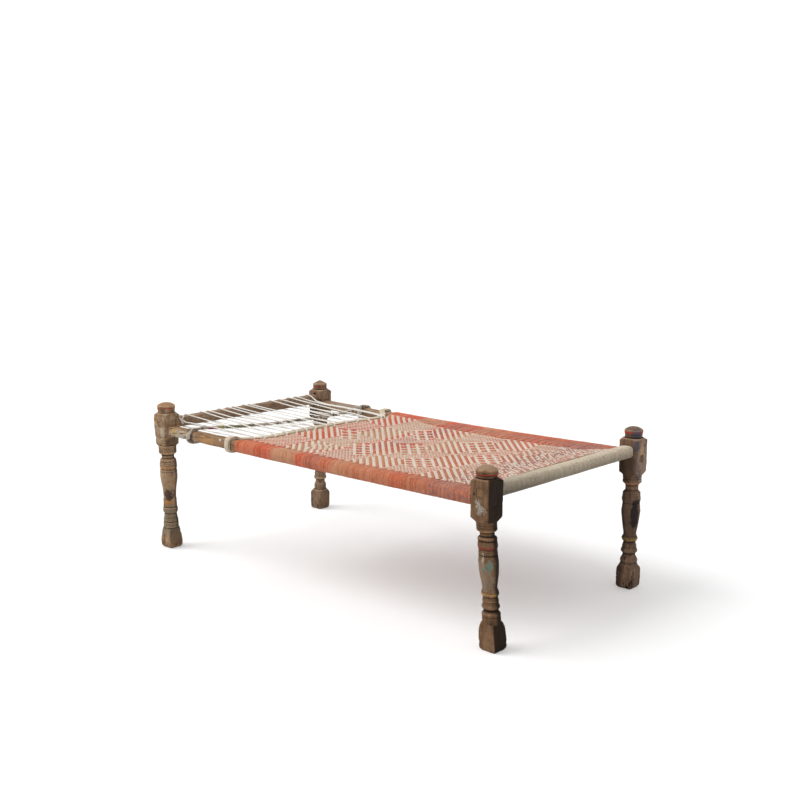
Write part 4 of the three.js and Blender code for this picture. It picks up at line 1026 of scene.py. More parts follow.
LEG_FINISHES = {
    "leg_head_near": {
        "light": (0.29, 0.165, 0.09), "dark": (0.08, 0.042, 0.02),
        "bands": [
            (588.5, 593.5, 0.36, OLD_RED), (400.5, 408, 0.4, OCHRE),
            (345, 356, 0.44, (0.22, 0.045, 0.032)), (189, 197.5, 0.43, OCHRE),
        ],
        "spots": [
            ((0, 0, 262), (50, 50, 60), 1, 45, 0.4, (0.32, 0.25, 0.18)),
            ((0, 0, 613), (50, 50, 14), 0.6, 60, 0.6, (0.4, 0.27, 0.18)),
            ((-6, -36, 499), (9, 6, 13), 1.9, 230, 0.5, CHALK),
            ((6, -36, 480), (14, 6, 14), 2, 200, 0.5, (0.46, 0.44, 0.38)),
            ((-21, -36, 527), (4, 6, 5), 0.5, 160, 0.9, (0.016, 0.01, 0.006)),
            ((27.6, -12.3, 293), (9, 9, 17), 1.2, 160, 0.75, (0.1, 0.24, 0.21)),
            ((9, -22, 283), (6, 6, 7), 1.2, 190, 0.75, (0.1, 0.24, 0.21)),
            ((6.5, -22, 315), (5, 6, 22), 1.2, 120, 0.7, (0.42, 0.37, 0.28)),
        ],
    },
    "leg_head_far": {
        "light": (0.31, 0.195, 0.125), "dark": (0.11, 0.065, 0.04),
        "bands": [
            (596.5, 602.5, 0.34, (0.45, 0.03, 0.025)), (400.5, 406.5, 0.42, (0.5, 0.18, 0.05)),
            (185, 194.5, 0.43, (0.5, 0.32, 0.06)),
        ],
        "spots": [
            # Painted shade, with some grime: dark on the face towards the bed, under the head rail
            # and its wrap.
            ((-5, -40, 470), (45, 12, 75), 0.2, 40, 0.65, (0.062, 0.036, 0.02)),
            ((0, 0, 250), (60, 60, 155), 0.5, 45, 0.45, (0.062, 0.039, 0.029)),
            ((36, 10, 480), (12, 36, 120), 1.2, 50, 0.55, (0.38, 0.27, 0.2)),
            ((34, -34, 480), (12, 11, 50), 0.9, 60, 0.5, (0.17, 0.135, 0.12)),
            ((34, -34, 552), (14, 12, 24), 0.7, 60, 0.85, (0.08, 0.075, 0.098)),
            ((37, 2, 527), (10, 17, 29), 0.9, 70, 0.85, (0.44, 0.29, 0.17)),
            ((26, -22, 596), (20, 20, 26), 0.5, 50, 0.85, (0.08, 0.075, 0.095)),
            ((30, -12, 445), (14, 14, 22), 0.9, 60, 0.6, (0.085, 0.08, 0.1)),
            ((29, -21, 282), (17, 20, 55), 0.35, 60, 0.95, (0.024, 0.017, 0.019)),
            ((31, -18, 336), (16, 19, 12), 0.6, 90, 0.9, (0.024, 0.017, 0.019)),
            ((30, -26, 45), (10, 10, 35), 0.9, 60, 0.6, (0.03, 0.024, 0.026)),
            ((26, -24, 60), (6, 6, 22), 1.2, 120, 0.5, (0.22, 0.21, 0.22)),
        ],
    },
    "leg_foot_near": {
        "light": (0.46, 0.295, 0.17), "dark": (0.18, 0.105, 0.058),
        "bands": [(597.5, 603, 0.47, OLD_RED), (345, 352, 0.45, (0.5, 0.19, 0.04))],
        "spots": [
            ((-20, -34, 535), (25, 10, 12), 1, 80, 0.7, (0.5, 0.3, 0.11)),
            ((0, 0, 612), (50, 50, 20), 0.7, 60, 0.6, (0.37, 0.2, 0.105)),
            ((12, -36, 510), (10, 8, 35), 1.2, 90, 0.45, (0.44, 0.43, 0.4)),
            ((0, 0, 510), (60, 60, 60), 1.9, 45, 0.35, (0.55, 0.44, 0.31)),
            ((0, 0, 300), (50, 50, 70), 1.2, 50, 0.38, (0.4, 0.215, 0.085)),
            ((0, 0, 300), (50, 50, 90), 1.9, 75, 0.33, (0.4, 0.34, 0.26)),
            ((0, 0, 115), (60, 60, 80), 0.5, 50, 0.72, (0.2, 0.17, 0.115)),
            ((30, -28, 590), (6, 10, 7), 1.2, 150, 0.6, (0.4, 0.42, 0.42)),
            # Painted shade: dark on the face towards the bed, under the side rail.
            ((36, 0, 462), (12, 40, 20), 0.6, 50, 0.6, (0.06, 0.034, 0.02)),
            ((22, -15, 228), (21, 21, 24), 1.1, 70, 0.85, (0.055, 0.024, 0.026)),
            ((16, -17, 198), (24, 24, 9), 0.9, 80, 0.7, (0.45, 0.2, 0.055)),
            ((30, 10, 50), (20, 40, 50), 0.3, 40, 0.45, (0.07, 0.043, 0.028)),
        ],
    },
    "leg_foot_far": {
        "light": (0.4, 0.26, 0.165), "dark": (0.15, 0.092, 0.057),
        "bands": [(588.5, 593, 0.45, OLD_RED), (345, 350, 0.5, OCHRE)],
        "spots": [
            ((0, 0, 40), (60, 60, 70), 0.4, 45, 0.4, (0.1, 0.06, 0.036)),
            # Painted shade: dark on the face towards the bed, under the foot rail.
            ((-10, -40, 460), (45, 12, 50), 0.3, 40, 0.8, (0.03, 0.02, 0.013)),
            ((35, 0, 500), (10, 30, 30), 0.8, 60, 0.6, (0.09, 0.07, 0.06)),
            ((4, -37, 556), (10, 8, 10), 0.8, 90, 0.85, (0.03, 0.02, 0.014)),
            ((30, -34, 530), (14, 12, 12), 1, 90, 0.85, (0.03, 0.02, 0.014)),
        ],
    },
}

for leg_name, finish in LEG_FINISHES.items():
    own = LEGS[leg_name]
    stand = (own["end"] * HALF_LENGTH, own["side"] * HALF_WIDTH)
    wood = old_wood(leg_name + "_wood", LEG_GRAIN, centre=stand, **finish)
    leg_mesh = cut_mortises(leg_name, leg_body(leg_name))
    set_values(leg_mesh, "recess", recess_of(leg_name, leg_mesh))
    set_values(leg_mesh, "shade_and_grime", shade_and_grime_of(leg_name, leg_mesh))
    add_piece(leg_name + "_turned", leg_mesh, wood, "leg_wood", leg_name)
    leg_mesh.set_sharp_from_angle(angle=math.radians(42))

RAIL_FINISHES = {
    "side_rail_near": {
        "grain_scale": (5, 55, 55), "light": (0.42, 0.26, 0.15), "dark": (0.18, 0.1, 0.052),
        "spots": [
            ((-735, -462, 505), (75, 10, 20), 1.5, 110, 0.6, (0.58, 0.53, 0.44)),
            ((-770, -460, 512), (30, 12, 12), 1.1, 110, 0.7, (0.52, 0.33, 0.11)),
            ((-700, -460, 515), (12, 12, 10), 1.1, 130, 0.6, (0.5, 0.3, 0.1)),
            ((-560, -458, 505), (50, 12, 20), 1.1, 60, 0.55, (0.48, 0.25, 0.09)),
            ((-470, -458, 518), (6, 10, 5), 0.9, 200, 0.8, (0.7, 0.68, 0.62)),
            # Painted shade: the tenon end on the near head leg's shaded side, as dark as that side.
            ((886, -439, 502), (14, 30, 30), 0.2, 60, 0.95, (0.016, 0.01, 0.006)),
        ],
    },
    "side_rail_far": {
        "grain_scale": (5, 55, 55), "light": (0.38, 0.25, 0.16), "dark": (0.16, 0.095, 0.058),
        "spots": [
            ((-660, 425, 515), (90, 20, 20), 1.1, 60, 0.4, (0.3, 0.27, 0.23)),
            ((886, 439, 502), (12, 30, 30), 0.2, 60, 0.6, (0.16, 0.09, 0.05)),
        ],
    },
    "head_rail": {
        "grain_scale": (55, 5, 55), "light": (0.3, 0.2, 0.13), "dark": (0.12, 0.07, 0.043),
        "spots": [
            ((852, -474, 533), (20, 10, 20), 0.5, 90, 0.65, (0.21, 0.105, 0.045)),
        ],
    },
    "foot_rail": {
        "grain_scale": (55, 5, 55), "light": (0.4, 0.27, 0.178), "dark": (0.18, 0.11, 0.067),
        "spots": [
            ((-850, 20, 530), (50, 300, 16), 0.7, 30, 0.35, (0.13, 0.075, 0.045)),
            ((-855, -300, 552), (40, 150, 20), 0.9, 30, 0.3, (0.46, 0.33, 0.22)),
        ],
    },
}

for rail_name, finish in RAIL_FINISHES.items():
    wood = old_wood(rail_name + "_wood", **finish)
    rail_mesh = rail_body(rail_name)
    add_piece(rail_name + "_hewn", rail_mesh, wood, "rail_wood", rail_name)
    rail_mesh.set_sharp_from_angle(angle=math.radians(40))


# Flat ropes across the foot end: bundles of twisted cords, looped round both side rails.
ROPE_THICKNESS = 0.012
ROPE_WIDTH = 0.027
STRANDS_ACROSS = 5
STRAND_RADIUS = 0.0031
# Of each rope: where its loops sit along the bed, its height, its bow, and its width. Places
# along the bed are shares of its length, places across it shares of half its width.
ROPES = {
    "border_rope": {
        "near": 0.2552, "far": 0.2487, "height": 0.5257,
        "bow": [
            (-0.93, 0.261), (-0.86, 0.2781), (-0.76, 0.2945), (-0.6, 0.3016), (-0.2, 0.3039),
            (0.2, 0.3109), (0.6, 0.3174), (0.7, 0.3133), (0.78, 0.2992), (0.86, 0.2781),
            (0.93, 0.2581),
        ],
        "widths": [(-0.8, ROPE_WIDTH), (-0.66, 0.042), (0, 0.042), (0.3, ROPE_WIDTH)],
    },
    "cross_rope": {
        "near": 0.1107, "far": 0.1724, "height": 0.53616,
        "bow": [
            (-0.93, 0.1154), (-0.84, 0.1313), (-0.64, 0.1642), (-0.4, 0.1876), (-0.14, 0.2064),
            (0.23, 0.224), (0.5, 0.2205), (0.7, 0.2041), (0.84, 0.1876), (0.93, 0.1783),
        ],
        "widths": [(-1, ROPE_WIDTH), (-0.8, 0.022), (0.8, 0.022), (1, ROPE_WIDTH)],
    },
}


def along_bed(share):
    return -HALF_LENGTH + 2 * HALF_LENGTH * share


def rope_place(rope, across):
    return along_bed(value_at(rope["bow"], across / HALF_WIDTH))


def rope_reach(rope, across):
    slope = (rope_place(rope, across + 0.005) - rope_place(rope, across - 0.005)) / 0.01
    return value_at(rope["widths"], across / HALF_WIDTH) / 2 * math.hypot(1, slope)


def corner_points(rail, side, up, distance, angles):
    """Points round one corner of a rail, at a distance from it, with their angles."""
    out_from, up_from = (half / 2 - RAIL_CORNER for half in rail["size"])
    reach = RAIL_CORNER + distance
    return [
        (side * out_from + reach * math.cos(math.radians(angle)),
         up * up_from + reach * math.sin(math.radians(angle)), angle)
        for angle in angles
    ]


def turns(start, end):
    """Angles from one to another, a sixteenth of a turn apart."""
    return np.arange(start, end + math.copysign(1, end - start), math.copysign(22.5, end - start))


def rope_loop(side, place):
    """The loop round a side rail: over the top, down the outside, under and up the inner face."""
    rail = RAILS["side_rail_near"]
    lift = CORD_CLEARANCE + ROPE_THICKNESS / 2
    points = [
        point for out, up, start, end in (
            (-1, 1, 112.5, 90), (1, 1, 90, 0), (1, -1, 0, -90), (-1, -1, -90, -180),
        )
        for point in corner_points(rail, out, up, lift, turns(start, end))
    ]
    below_start = points[0][1] - ROPE_THICKNESS - 0.0013
    points.append((-(rail["size"][0] / 2 + lift), below_start, -180))
    return [
        (Vector((place, side * (HALF_WIDTH + out), rail["centre"] + up)),
         Vector((0, side * math.cos(math.radians(a)), math.sin(math.radians(a)))), ROPE_WIDTH)
        for out, up, a in points
    ]


def rope_line(rope):
    """A rope's middle line with its outward direction and its width, from one loop to the other."""
    shares = sorted({share for share, _ in rope["bow"] + rope["widths"] if abs(share) <= 0.93})
    bed = [
        (Vector((rope_place(rope, share * HALF_WIDTH), share * HALF_WIDTH, rope["height"])),
         Vector((0, 0, 1)), float(value_at(rope["widths"], share)))
        for share in shares
    ]
    near, far = along_bed(rope["near"]), along_bed(rope["far"])
    return rope_loop(-1, near)[::-1] + bed + rope_loop(1, far)


def rope_strands(rope):
    """The middle lines of a rope's cords: so many side by side, in two layers."""
    points, outward, widths = (np.array(part) for part in zip(*rope_line(rope)))
    ahead = unit_rows(np.gradient(points, axis=0))
    side = unit_rows(np.cross(outward, ahead))
    away = np.cross(ahead, side)
    strands = []
    for layer in (0, 1):
        for k in range(STRANDS_ACROSS):
            share = (k + 0.5) / STRANDS_ACROSS - 0.5
            level = (layer - 0.5) * (ROPE_THICKNESS - 2 * STRAND_RADIUS)
            spots = (0.45, k * 3.7, layer * 5.1), (0.6, k * 2.9 + 9, layer * 4.3)
            wander, rise = (
                np.array([noise.noise(Vector((i * pace, row, depth))) for i in range(len(points))])
                for pace, row, depth in spots
            )
            sideways = (widths - 1.4 * STRAND_RADIUS) * share + wander * 0.0022
            path = points + side * sideways[:, None] + away * (level + rise * 0.0012)[:, None]
            strands.append(rounded(path))
    return strands


ROPE_CORD = cord_material(
    "rope_cord", 0.004,
    plain_cord((0.90, 0.79, 0.63), (0.62, 0.51, 0.38), [(60, 0.34, 0.45, (0.30, 0.23, 0.16))]),
    depth=0.0004,
)
GREY_FLECKS = [(38, 0.47, 0.88, (0.11, 0.08, 0.055)), (90, 0.36, 0.6, (0.86, 0.80, 0.70))]
RAGS = [
    ((-0.634, -0.374, 0.535), 0.016, (0.50, 0.07, 0.19)),
    ((-0.612, -0.346, 0.535), 0.015, (0.40, 0.33, 0.10)),
    ((-0.588, -0.306, 0.535), 0.026, (0.13, 0.11, 0.06)),
    ((-0.565, -0.262, 0.535), 0.020, (0.34, 0.29, 0.14)),
]
GREY_ROPE_CORD = cord_material(
    "grey_rope_cord", 0.004,
    plain_cord((0.80, 0.72, 0.60), (0.50, 0.42, 0.34), GREY_FLECKS, rags=RAGS), depth=0.0004,
)

for rope_name, rope_material in (("border_rope", ROPE_CORD), ("cross_rope", GREY_ROPE_CORD)):
    plies, ply_shades = [], []
    for number, strand in enumerate(rope_strands(ROPES[rope_name])):
        for ply in twisted(strand, 0.0014, 0.021, phase=number * 1.3):
            plies.append(ply)
            ply_shades.append(chance.random())
    half = len(plies) // 2
    for part, chosen in (("under", slice(0, half)), ("upper", slice(half, None))):
        rope_mesh = cord_mesh(plies[chosen], 0.0018, ply_shades[chosen])
        add_piece(f"{rope_name}_{part}_cords", rope_mesh, rope_material, "flat_rope", rope_name)


# Cord wound round the rails
WRAP_CORD = 0.0042
WRAP_PITCH = 0.00415
WRAP_POINTS = 16


def winding(rail, start, end):
    """One cord wound closely round a rail: its path, and a shade for each of its turns."""
    count = int((end - start) / WRAP_PITCH)
    pushes = spread.normal(0, 0.00022, count + 2)
    slips = spread.normal(0, 0.0003, count + 2)
    tones = np.clip(spread.normal(0.5, 0.22, count + 2), 0, 1)
    path, shades = [], []
    for step in range(count * WRAP_POINTS):
        turn = step / WRAP_POINTS
        whole = int(turn)
        part = turn - whole
        angle = 2 * math.pi * part
        slip, push = ((1 - part) * row[whole] + part * row[whole + 1] for row in (slips, pushes))
        place = start + turn * WRAP_PITCH + slip
        push += CORD_CLEARANCE + WRAP_CORD / 2
        half_wide, half_tall = (size / 2 + push for size in rail["size"])
        wave = noise.noise(Vector((place * 9, math.cos(angle), math.sin(angle)))) * 0.0008
        distance = float(box_reach(half_wide, half_tall, 4.2, np.array(angle))) + wave
        height = rail["centre"] + distance * math.sin(angle)
        path.append(along_rail(rail, place, distance * math.cos(angle), height))
        shades.append(tones[whole])
    return np.array(path), np.array(shades)


SIDE_WRAP_CORD = cord_material("side_wrap_cord", 0.006, dyed_cord(0.05, 0.65))
HEAD_FLECKS = [
    (24, 0.32, 0.5, (0.34, 0.27, 0.19)), (85, 0.33, 0.7, (0.74, 0.76, 0.78)),
    (130, 0.40, 0.55, (0.20, 0.155, 0.105)), (145, 0.36, 0.45, (0.80, 0.72, 0.60)),
]
HEAD_WRAP_CORD = cord_material(
    "head_wrap_cord", 0.006,
    plain_cord((0.72, 0.62, 0.48), (0.43, 0.355, 0.26), HEAD_FLECKS, low_near_shade=0.95),
)
WRAP_GAP = BLOCK_SIDE / 2 + 0.007
WRAP_END = HALF_LENGTH - WRAP_GAP
WRAPS = {
    "side_wrap_near": ("side_rail_near", along_bed(0.281), WRAP_END, SIDE_WRAP_CORD, "woven_cord"),
    "side_wrap_far": ("side_rail_far", along_bed(0.2816), WRAP_END, SIDE_WRAP_CORD, "woven_cord"),
    "head_wrap": (
        "head_rail", -HALF_WIDTH + WRAP_GAP, HALF_WIDTH - WRAP_GAP, HEAD_WRAP_CORD, "head_cord",
    ),
}
for wrap_name, (rail_name, start, end, wrap_material, wrap_slot) in WRAPS.items():
    wound, tones = winding(RAILS[rail_name], start, end)
    wrap_mesh = cord_mesh([wound], WRAP_CORD / 2, [tones])
    add_piece(wrap_name + "_turns", wrap_mesh, wrap_material, wrap_slot, wrap_name)


# The woven seat: pairs of undyed cords along the bed, pairs of dyed cords across it, over two
# and under two, turning back at each fold line so that the stripes close into diamonds.
PAIR_STEP = 0.0082
CORD_STEP = 0.0041
CORD_RADIUS = 0.00195
CROSSING_RISE = 0.0022
SEAT_END = 0.8233
COLUMN_FOLDS = [-0.345, -0.173, -0.006, 0.175, 0.352, 0.512, 0.700]
ROW_FOLDS = [-0.203, 0.011, 0.190]
WEAVE_NEAR_EDGE = -0.394
WEAVE_FAR_EDGE = [(-0.20, 0.395), (-0.12, 0.360), (0.0, 0.343), (0.6, 0.336)]
BROKEN_PLACES = [(-0.080, -0.290, 0.040, 0.050), (0.560, 0.190, 0.045, 0.060)]
# Where the diamonds' corners meet the stripes are wider, with dashes between them: middle, and
# half the length and width of the place, which lies at 45 degrees, and a shift of the stripes.
LADDERS = [
    (0.344, 0.164, 0.092, 0.056, 5), (0.166, -0.032, 0.100, 0.045, 3),
    (0.362, -0.212, 0.100, 0.052, 2), (0.512, 0.000, 0.090, 0.042, 4),
    (0.041, -0.190, 0.115, 0.033, 3), (0.028, 0.189, 0.085, 0.036, 1),
    (-0.172, -0.030, 0.080, 0.035, 0),
]
MOTTLED_FROM = 0.600
SEAT_EDGE_TOP = 0.52866
SEAT_HEAD_TOP = 0.549286


def seat_start(across):
    rope = ROPES["border_rope"]
    return rope_place(rope, across) + rope_reach(rope, across) + 0.0084


def seat_height(along, across, start):
    """Height of the middle of the weave: sagging between the rails, climbing to the head rail."""
    share = across / HALF_WIDTH
    length_share = np.clip((along - start) / (SEAT_END - start), 0, 1)
    hollow = (1 - share**2) * np.sin(np.pi * length_share)
    climb = np.clip((along - (SEAT_END + 0.0035 - 0.15)) / 0.15, 0, 1)
    climb = climb * climb * (3 - 2 * climb)
    rise = climb * (SEAT_HEAD_TOP - SEAT_EDGE_TOP) * (1 - share**4)
    return SEAT_EDGE_TOP - 0.017 * hollow + rise - 0.003


def folded(places, folds):
    """Counts cords up and down by turns, changing direction at each fold line."""
    fold_number = np.searchsorted(folds, places)
    direction = np.where(fold_number % 2 == 1, 1, -1)
    return np.cumsum(direction)


pair_across = np.arange(WEAVE_NEAR_EDGE + PAIR_STEP / 2, 0.395, PAIR_STEP)
pair_along = np.arange(-0.41, SEAT_END - 0.002, PAIR_STEP)
row_count = folded(pair_across, ROW_FOLDS)
column_count = folded(pair_along, COLUMN_FOLDS)
long_cord_up = (row_count[:, None] + column_count[None, :]) % 4 < 2
rows, columns = np.indices(long_cord_up.shape)
along_grid, across_grid = pair_along[None, :], pair_across[:, None]
for middle_along, middle_across, half_along, half_across in BROKEN_PLACES:
    ragged = spread.normal(0, 0.22, long_cord_up.shape)
    out, side = along_grid - middle_along, across_grid - middle_across
    inside = np.hypot(out / half_along, side / half_across) + ragged < 1
    blocks = (rows // 2 + columns // 2) % 2 == 0
    long_cord_up = np.where(inside, blocks, long_cord_up)
for middle_along, middle_across, half_long, half_wide, shift in LADDERS:
    out, side = along_grid - middle_along, across_grid - middle_across
    shares = np.abs(out - side) / half_long, np.abs(out + side) / half_wide
    inside = np.maximum(*shares) < math.sqrt(2)
    ladder = ((rows + columns + shift) % 6 < 2) | ((columns - rows) % 8 < 2)
    long_cord_up = np.where(inside, ladder, long_cord_up)
mottled_share = np.clip((along_grid - MOTTLED_FROM) / 0.10, 0, 0.62)
mottled = spread.random(long_cord_up.shape) < mottled_share
long_cord_up = np.where(mottled, (rows + columns) % 2 == 0, long_cord_up)
starts = np.array([seat_start(across) for across in pair_across])
far_edges = value_at(WEAVE_FAR_EDGE, pair_along)
woven = (along_grid > starts[:, None] + 0.002) & (across_grid < far_edges[None, :])
heights = seat_height(along_grid, across_grid, starts[:, None])
lift = np.where(long_cord_up, CROSSING_RISE, -CROSSING_RISE)
BORDER_HEIGHT = ROPES["border_rope"]["height"]
CORD_WANDER = 0.0005
CORD_JITTER = 0.00022
# Where the cross cords reach the side wraps: how far out and how high.
SIDE_ANCHOR = 0.4150
SIDE_ANCHOR_HEIGHT = SEAT_EDGE_TOP - 0.0035 + 0.0015


def wandering(spots):
    """Small drifts of a cord to the side, at spots in a noise."""
    return CORD_WANDER * np.array([noise.noise(Vector(spot)) for spot in spots])


def long_cords():
    """The undyed cords, each from under the border rope to the head wrap."""
    paths = []
    for i, across in enumerate(pair_across):
        used = np.nonzero(woven[i])[0]
        for offset in (across - CORD_STEP / 2, across + CORD_STEP / 2):
            wander = wandering((x * 11, offset * 97, 1.7) for x in pair_along[used])
            height = heights[i, used] + lift[i, used] + spread.normal(0, CORD_JITTER, len(used))
            path = np.c_[pair_along[used], offset + wander, height]
            under = [
                (starts[i] - 0.028, offset, BORDER_HEIGHT - 0.0085),
                (starts[i] - 0.012, offset, BORDER_HEIGHT - 0.0080),
                (starts[i] - 0.002, offset, (height[0] + BORDER_HEIGHT - 0.008) / 2),
            ]
            last = (path[-1, 0] + PAIR_STEP, offset, height[-1] - 0.004)
            if used[-1] == len(pair_along) - 1:
                last = (SEAT_END + 0.001, offset, height[-1] + 0.001)
            paths.append(np.vstack([under, path, last]))
    return paths


def cross_cords():
    """The dyed cords, each from one side wrap to the other, or to the border rope where it bows."""
    paths = []
    for j, along in enumerate(pair_along):
        edges = np.diff(np.r_[0, woven[:, j].astype(int), 0])
        for low, high in zip(np.nonzero(edges == 1)[0], np.nonzero(edges == -1)[0]):
            used = np.arange(low, high)
            if len(used) < 2:
                continue
            for offset in (along - CORD_STEP / 2, along + CORD_STEP / 2):
                wander = wandering((offset * 97, y * 11, 8.1) for y in pair_across[used])
                height = heights[used, j] - lift[used, j] + spread.normal(0, CORD_JITTER, len(used))
                path = np.c_[offset + wander, pair_across[used], height]
                ends = []
                for end, row, side in ((path[0], low, -1), (path[-1], high - 1, 1)):
                    last = row + 1 == len(pair_across) or pair_across[row + 1] >= far_edges[j]
                    if row == 0 or last:
                        ends.append((offset, side * SIDE_ANCHOR, SIDE_ANCHOR_HEIGHT))
                    else:
                        ends.append((offset, end[1] + side * PAIR_STEP * 0.8, end[2] - 0.004))
                paths.append(np.vstack([ends[0], path, ends[1]]))
    return paths


def bare_thickness(path):
    """Cross cords are pressed flat and wide where no cord crosses them, by the far rail."""
    return np.where(path[:, 1] > value_at(WEAVE_FAR_EDGE, path[:, 0]) - PAIR_STEP, 1.16, 1.0)


LONG_CORD = cord_material("long_cord", 0.006, plain_cord(
    (0.78, 0.68, 0.57), (0.58, 0.475, 0.385), [(30, 0.30, 0.35, (0.48, 0.30, 0.21))], specks=0.75,
))
CROSS_CORD = cord_material("cross_cord", 0.006, dyed_cord(0.06, 0.7))


def add_weave(name, paths, material, thickness=None):
    """One layer of the weave, as two pieces."""
    tones = np.clip(spread.normal(0.5, 0.2, len(paths)), 0, 1)
    half = len(paths) // 2
    for part, chosen in ((1, slice(0, half)), (2, slice(half, None))):
        widths = [thickness(path) for path in paths[chosen]] if thickness else None
        mesh = cord_mesh(paths[chosen], CORD_RADIUS, tones[chosen], widths)
        add_piece(f"{name}_{part}", mesh, material, "woven_cord", "woven_seat")


add_weave("long_cords", long_cords(), LONG_CORD)
add_weave("cross_cords", cross_cords(), CROSS_CORD, bare_thickness)


# The lacing: one cord from the border rope to the foot rail and back, along the whole width.
LACING = 0.0055
LACING_LIFT = CORD_CLEARANCE + LACING / 2 + 0.0001
# Where the strands leave the foot rail and the border rope, as shares of half the bed's width.
RAIL_STRANDS = [
    -0.833, -0.772, -0.577, -0.501, -0.36, -0.25, -0.186, -0.044, 0.008, 0.308, 0.424, 0.558,
    0.654, 0.824,
]
BORDER_STRANDS = [
    -0.845, -0.765, -0.66, -0.527, -0.404, -0.285, -0.17, -0.04, 0.064, 0.232, 0.373, 0.514,
    0.692, 0.73,
]
FIRST_RETURN = -0.885 * HALF_WIDTH
HITCHED = -0.898 * HALF_WIDTH
# Where strands are drawn together near the two foot legs.
NEAR_PULL = np.array((-HALF_LENGTH + 0.037, -HALF_WIDTH + 0.039, 0.54116))
FAR_PULL = np.array((-HALF_LENGTH + 0.125, HALF_WIDTH - 0.137, 0.54316))


def past_cross_rope(start, end, side):
    """A strand bends over the cross rope, or under it, where its straight line would meet it."""
    rope = ROPES["cross_rope"]
    share = 0.5
    for _ in range(4):
        across = start[1] + (end[1] - start[1]) * share
        share = (rope_place(rope, across) - start[0]) / (end[0] - start[0])
    point = start + (end - start) * share
    clear = rope["height"] + side * (ROPE_THICKNESS / 2 + LACING_LIFT)
    if side * (point[2] - clear) >= 0:
        return []
    return [np.array((point[0], point[1], clear))]


def rail_turn(arriving, top, back):
    """Round the foot rail: over its top, down the outside and back underneath."""
    rail = RAILS["foot_rail"]
    corner_out = rail["middle"] + rail["size"][0] / 2 - RAIL_CORNER
    corner_up = rail_height(rail, top) + rail["size"][1] / 2 - RAIL_CORNER
    out, up = arriving[0] - corner_out, arriving[2] - corner_up
    touch = math.acos((RAIL_CORNER + LACING_LIFT) / math.hypot(out, up))
    angle = math.degrees(math.atan2(up, out) + touch)
    over_top = [angle, (angle + 90) / 2, 90] if angle < 80 else [angle]
    outline = (
        corner_points(rail, 1, 1, LACING_LIFT, over_top)
        + corner_points(rail, -1, 1, LACING_LIFT, turns(90, 180))
        + corner_points(rail, -1, -1, LACING_LIFT, turns(180, 270))
        + corner_points(rail, 1, -1, LACING_LIFT, [270])
    )
    flat = np.array(outline)[:, :2]
    lengths = lengths_along(flat)
    across = top + (back - top) * lengths / lengths[-1]
    return [
        np.array((rail["middle"] + out, y, rail_height(rail, y) + up))
        for (out, up), y in zip(flat, across)
    ]


def border_turn(back, top):
    """Round the border rope: in from underneath and out over the top."""
    rope = ROPES["border_rope"]
    radius = ROPE_THICKNESS / 2 + LACING_LIFT
    turn = [np.array((rope_place(rope, back), back, rope["height"] - radius))]
    for angle in np.radians((-90, -45, 0, 45, 90)):
        tip = math.sin(angle)
        across = back + (top - back) * (1 + tip) / 2
        middle = rope_place(rope, across) + rope_reach(rope, across) + 0.0005 - ROPE_THICKNESS / 2
        out = middle + radius * math.cos(angle)
        turn.append(np.array((out, across, rope["height"] + radius * tip)))
    return turn


def hitch(pull, strand_end):
    """The cord's first end winds round the first strand, where both are drawn together."""
    ahead = (strand_end - pull) / np.linalg.norm(strand_end - pull)
    up = np.array((0, 0, 1.0)) - ahead * ahead[2]
    up /= np.linalg.norm(up)
    side = np.cross(ahead, up)
    points = []
    for left in np.arange(15, -1, -1) / 12:
        turn = -2 * math.pi * left
        around = 0.0065 * (math.cos(turn) * up + math.sin(turn) * side)
        points.append(pull + ahead * (0.015 + left * 0.009) + around)
    out = points[0] - points[1]
    return [points[0] + out / np.linalg.norm(out) * LACING, *points]


def return_place(first, following):
    return first + max(0.009, 0.4 * (following - first))


def lacing_line():
    """The cord's middle line, from its hitch near one leg to its end at the other."""
    rail = RAILS["foot_rail"]
    reach = rail["size"][1] / 2 + LACING_LIFT
    tops = [share * HALF_WIDTH for share in RAIL_STRANDS]
    borders = [share * HALF_WIDTH for share in BORDER_STRANDS]
    pulls = {0: NEAR_PULL, len(tops) - 2: FAR_PULL, len(tops) - 1: FAR_PULL + (0, 0.008, 0)}
    leaving = border_turn(FIRST_RETURN, borders[0])[-1]
    points = hitch(NEAR_PULL, (past_cross_rope(NEAR_PULL, leaving, 1) or [leaving])[0])
    points += rail_turn(points[-1], HITCHED, return_place(HITCHED, tops[0]))
    for i, top in enumerate(tops):
        back = (borders[i - 1] + borders[i]) / 2 if i else FIRST_RETURN
        turn = border_turn(back, borders[i])
        points += past_cross_rope(points[-1], turn[0], -1) + turn
        goal = pulls.get(i, np.array((rail["middle"], top, rail_height(rail, top) + reach)))
        points += past_cross_rope(turn[-1], goal, 1)
        if i in pulls:
            points.append(goal)
        if top == tops[-1]:
            points += rail_turn(points[-1], top, top + 0.014)[:-1]
        else:
            points += rail_turn(points[-1], top, return_place(top, tops[i + 1]))
    final = points[-1]
    underside = rail_height(rail, HALF_WIDTH) - reach
    face = HALF_WIDTH - block_half("leg_foot_far", final[2])
    for along, across in (
        (final[0] + LACING, final[1] + (face - final[1]) / 3),
        (rail["middle"], face - LACING), (rail["middle"], face),
    ):
        points.append(np.array((along, across, underside)))
    return points


lacing = rounded(lacing_line(), 1)
LACING_CORD = cord_material(
    "lacing_cord_cotton", 0.004, plain_cord(WHITE_COTTON, (0.84, 0.80, 0.73)), depth=0.0004
)
lacing_plies = twisted(lacing, 0.00128, 0.019)
halfway = len(lacing_plies[0]) // 2
for part, chosen in (("near", slice(0, halfway + 1)), ("far", slice(halfway, None))):
    lacing_mesh = cord_mesh([ply[chosen] for ply in lacing_plies], 0.0016, [0.4, 0.65])
    add_piece(f"lacing_{part}_strands", lacing_mesh, LACING_CORD, "lacing", "lacing_cord")


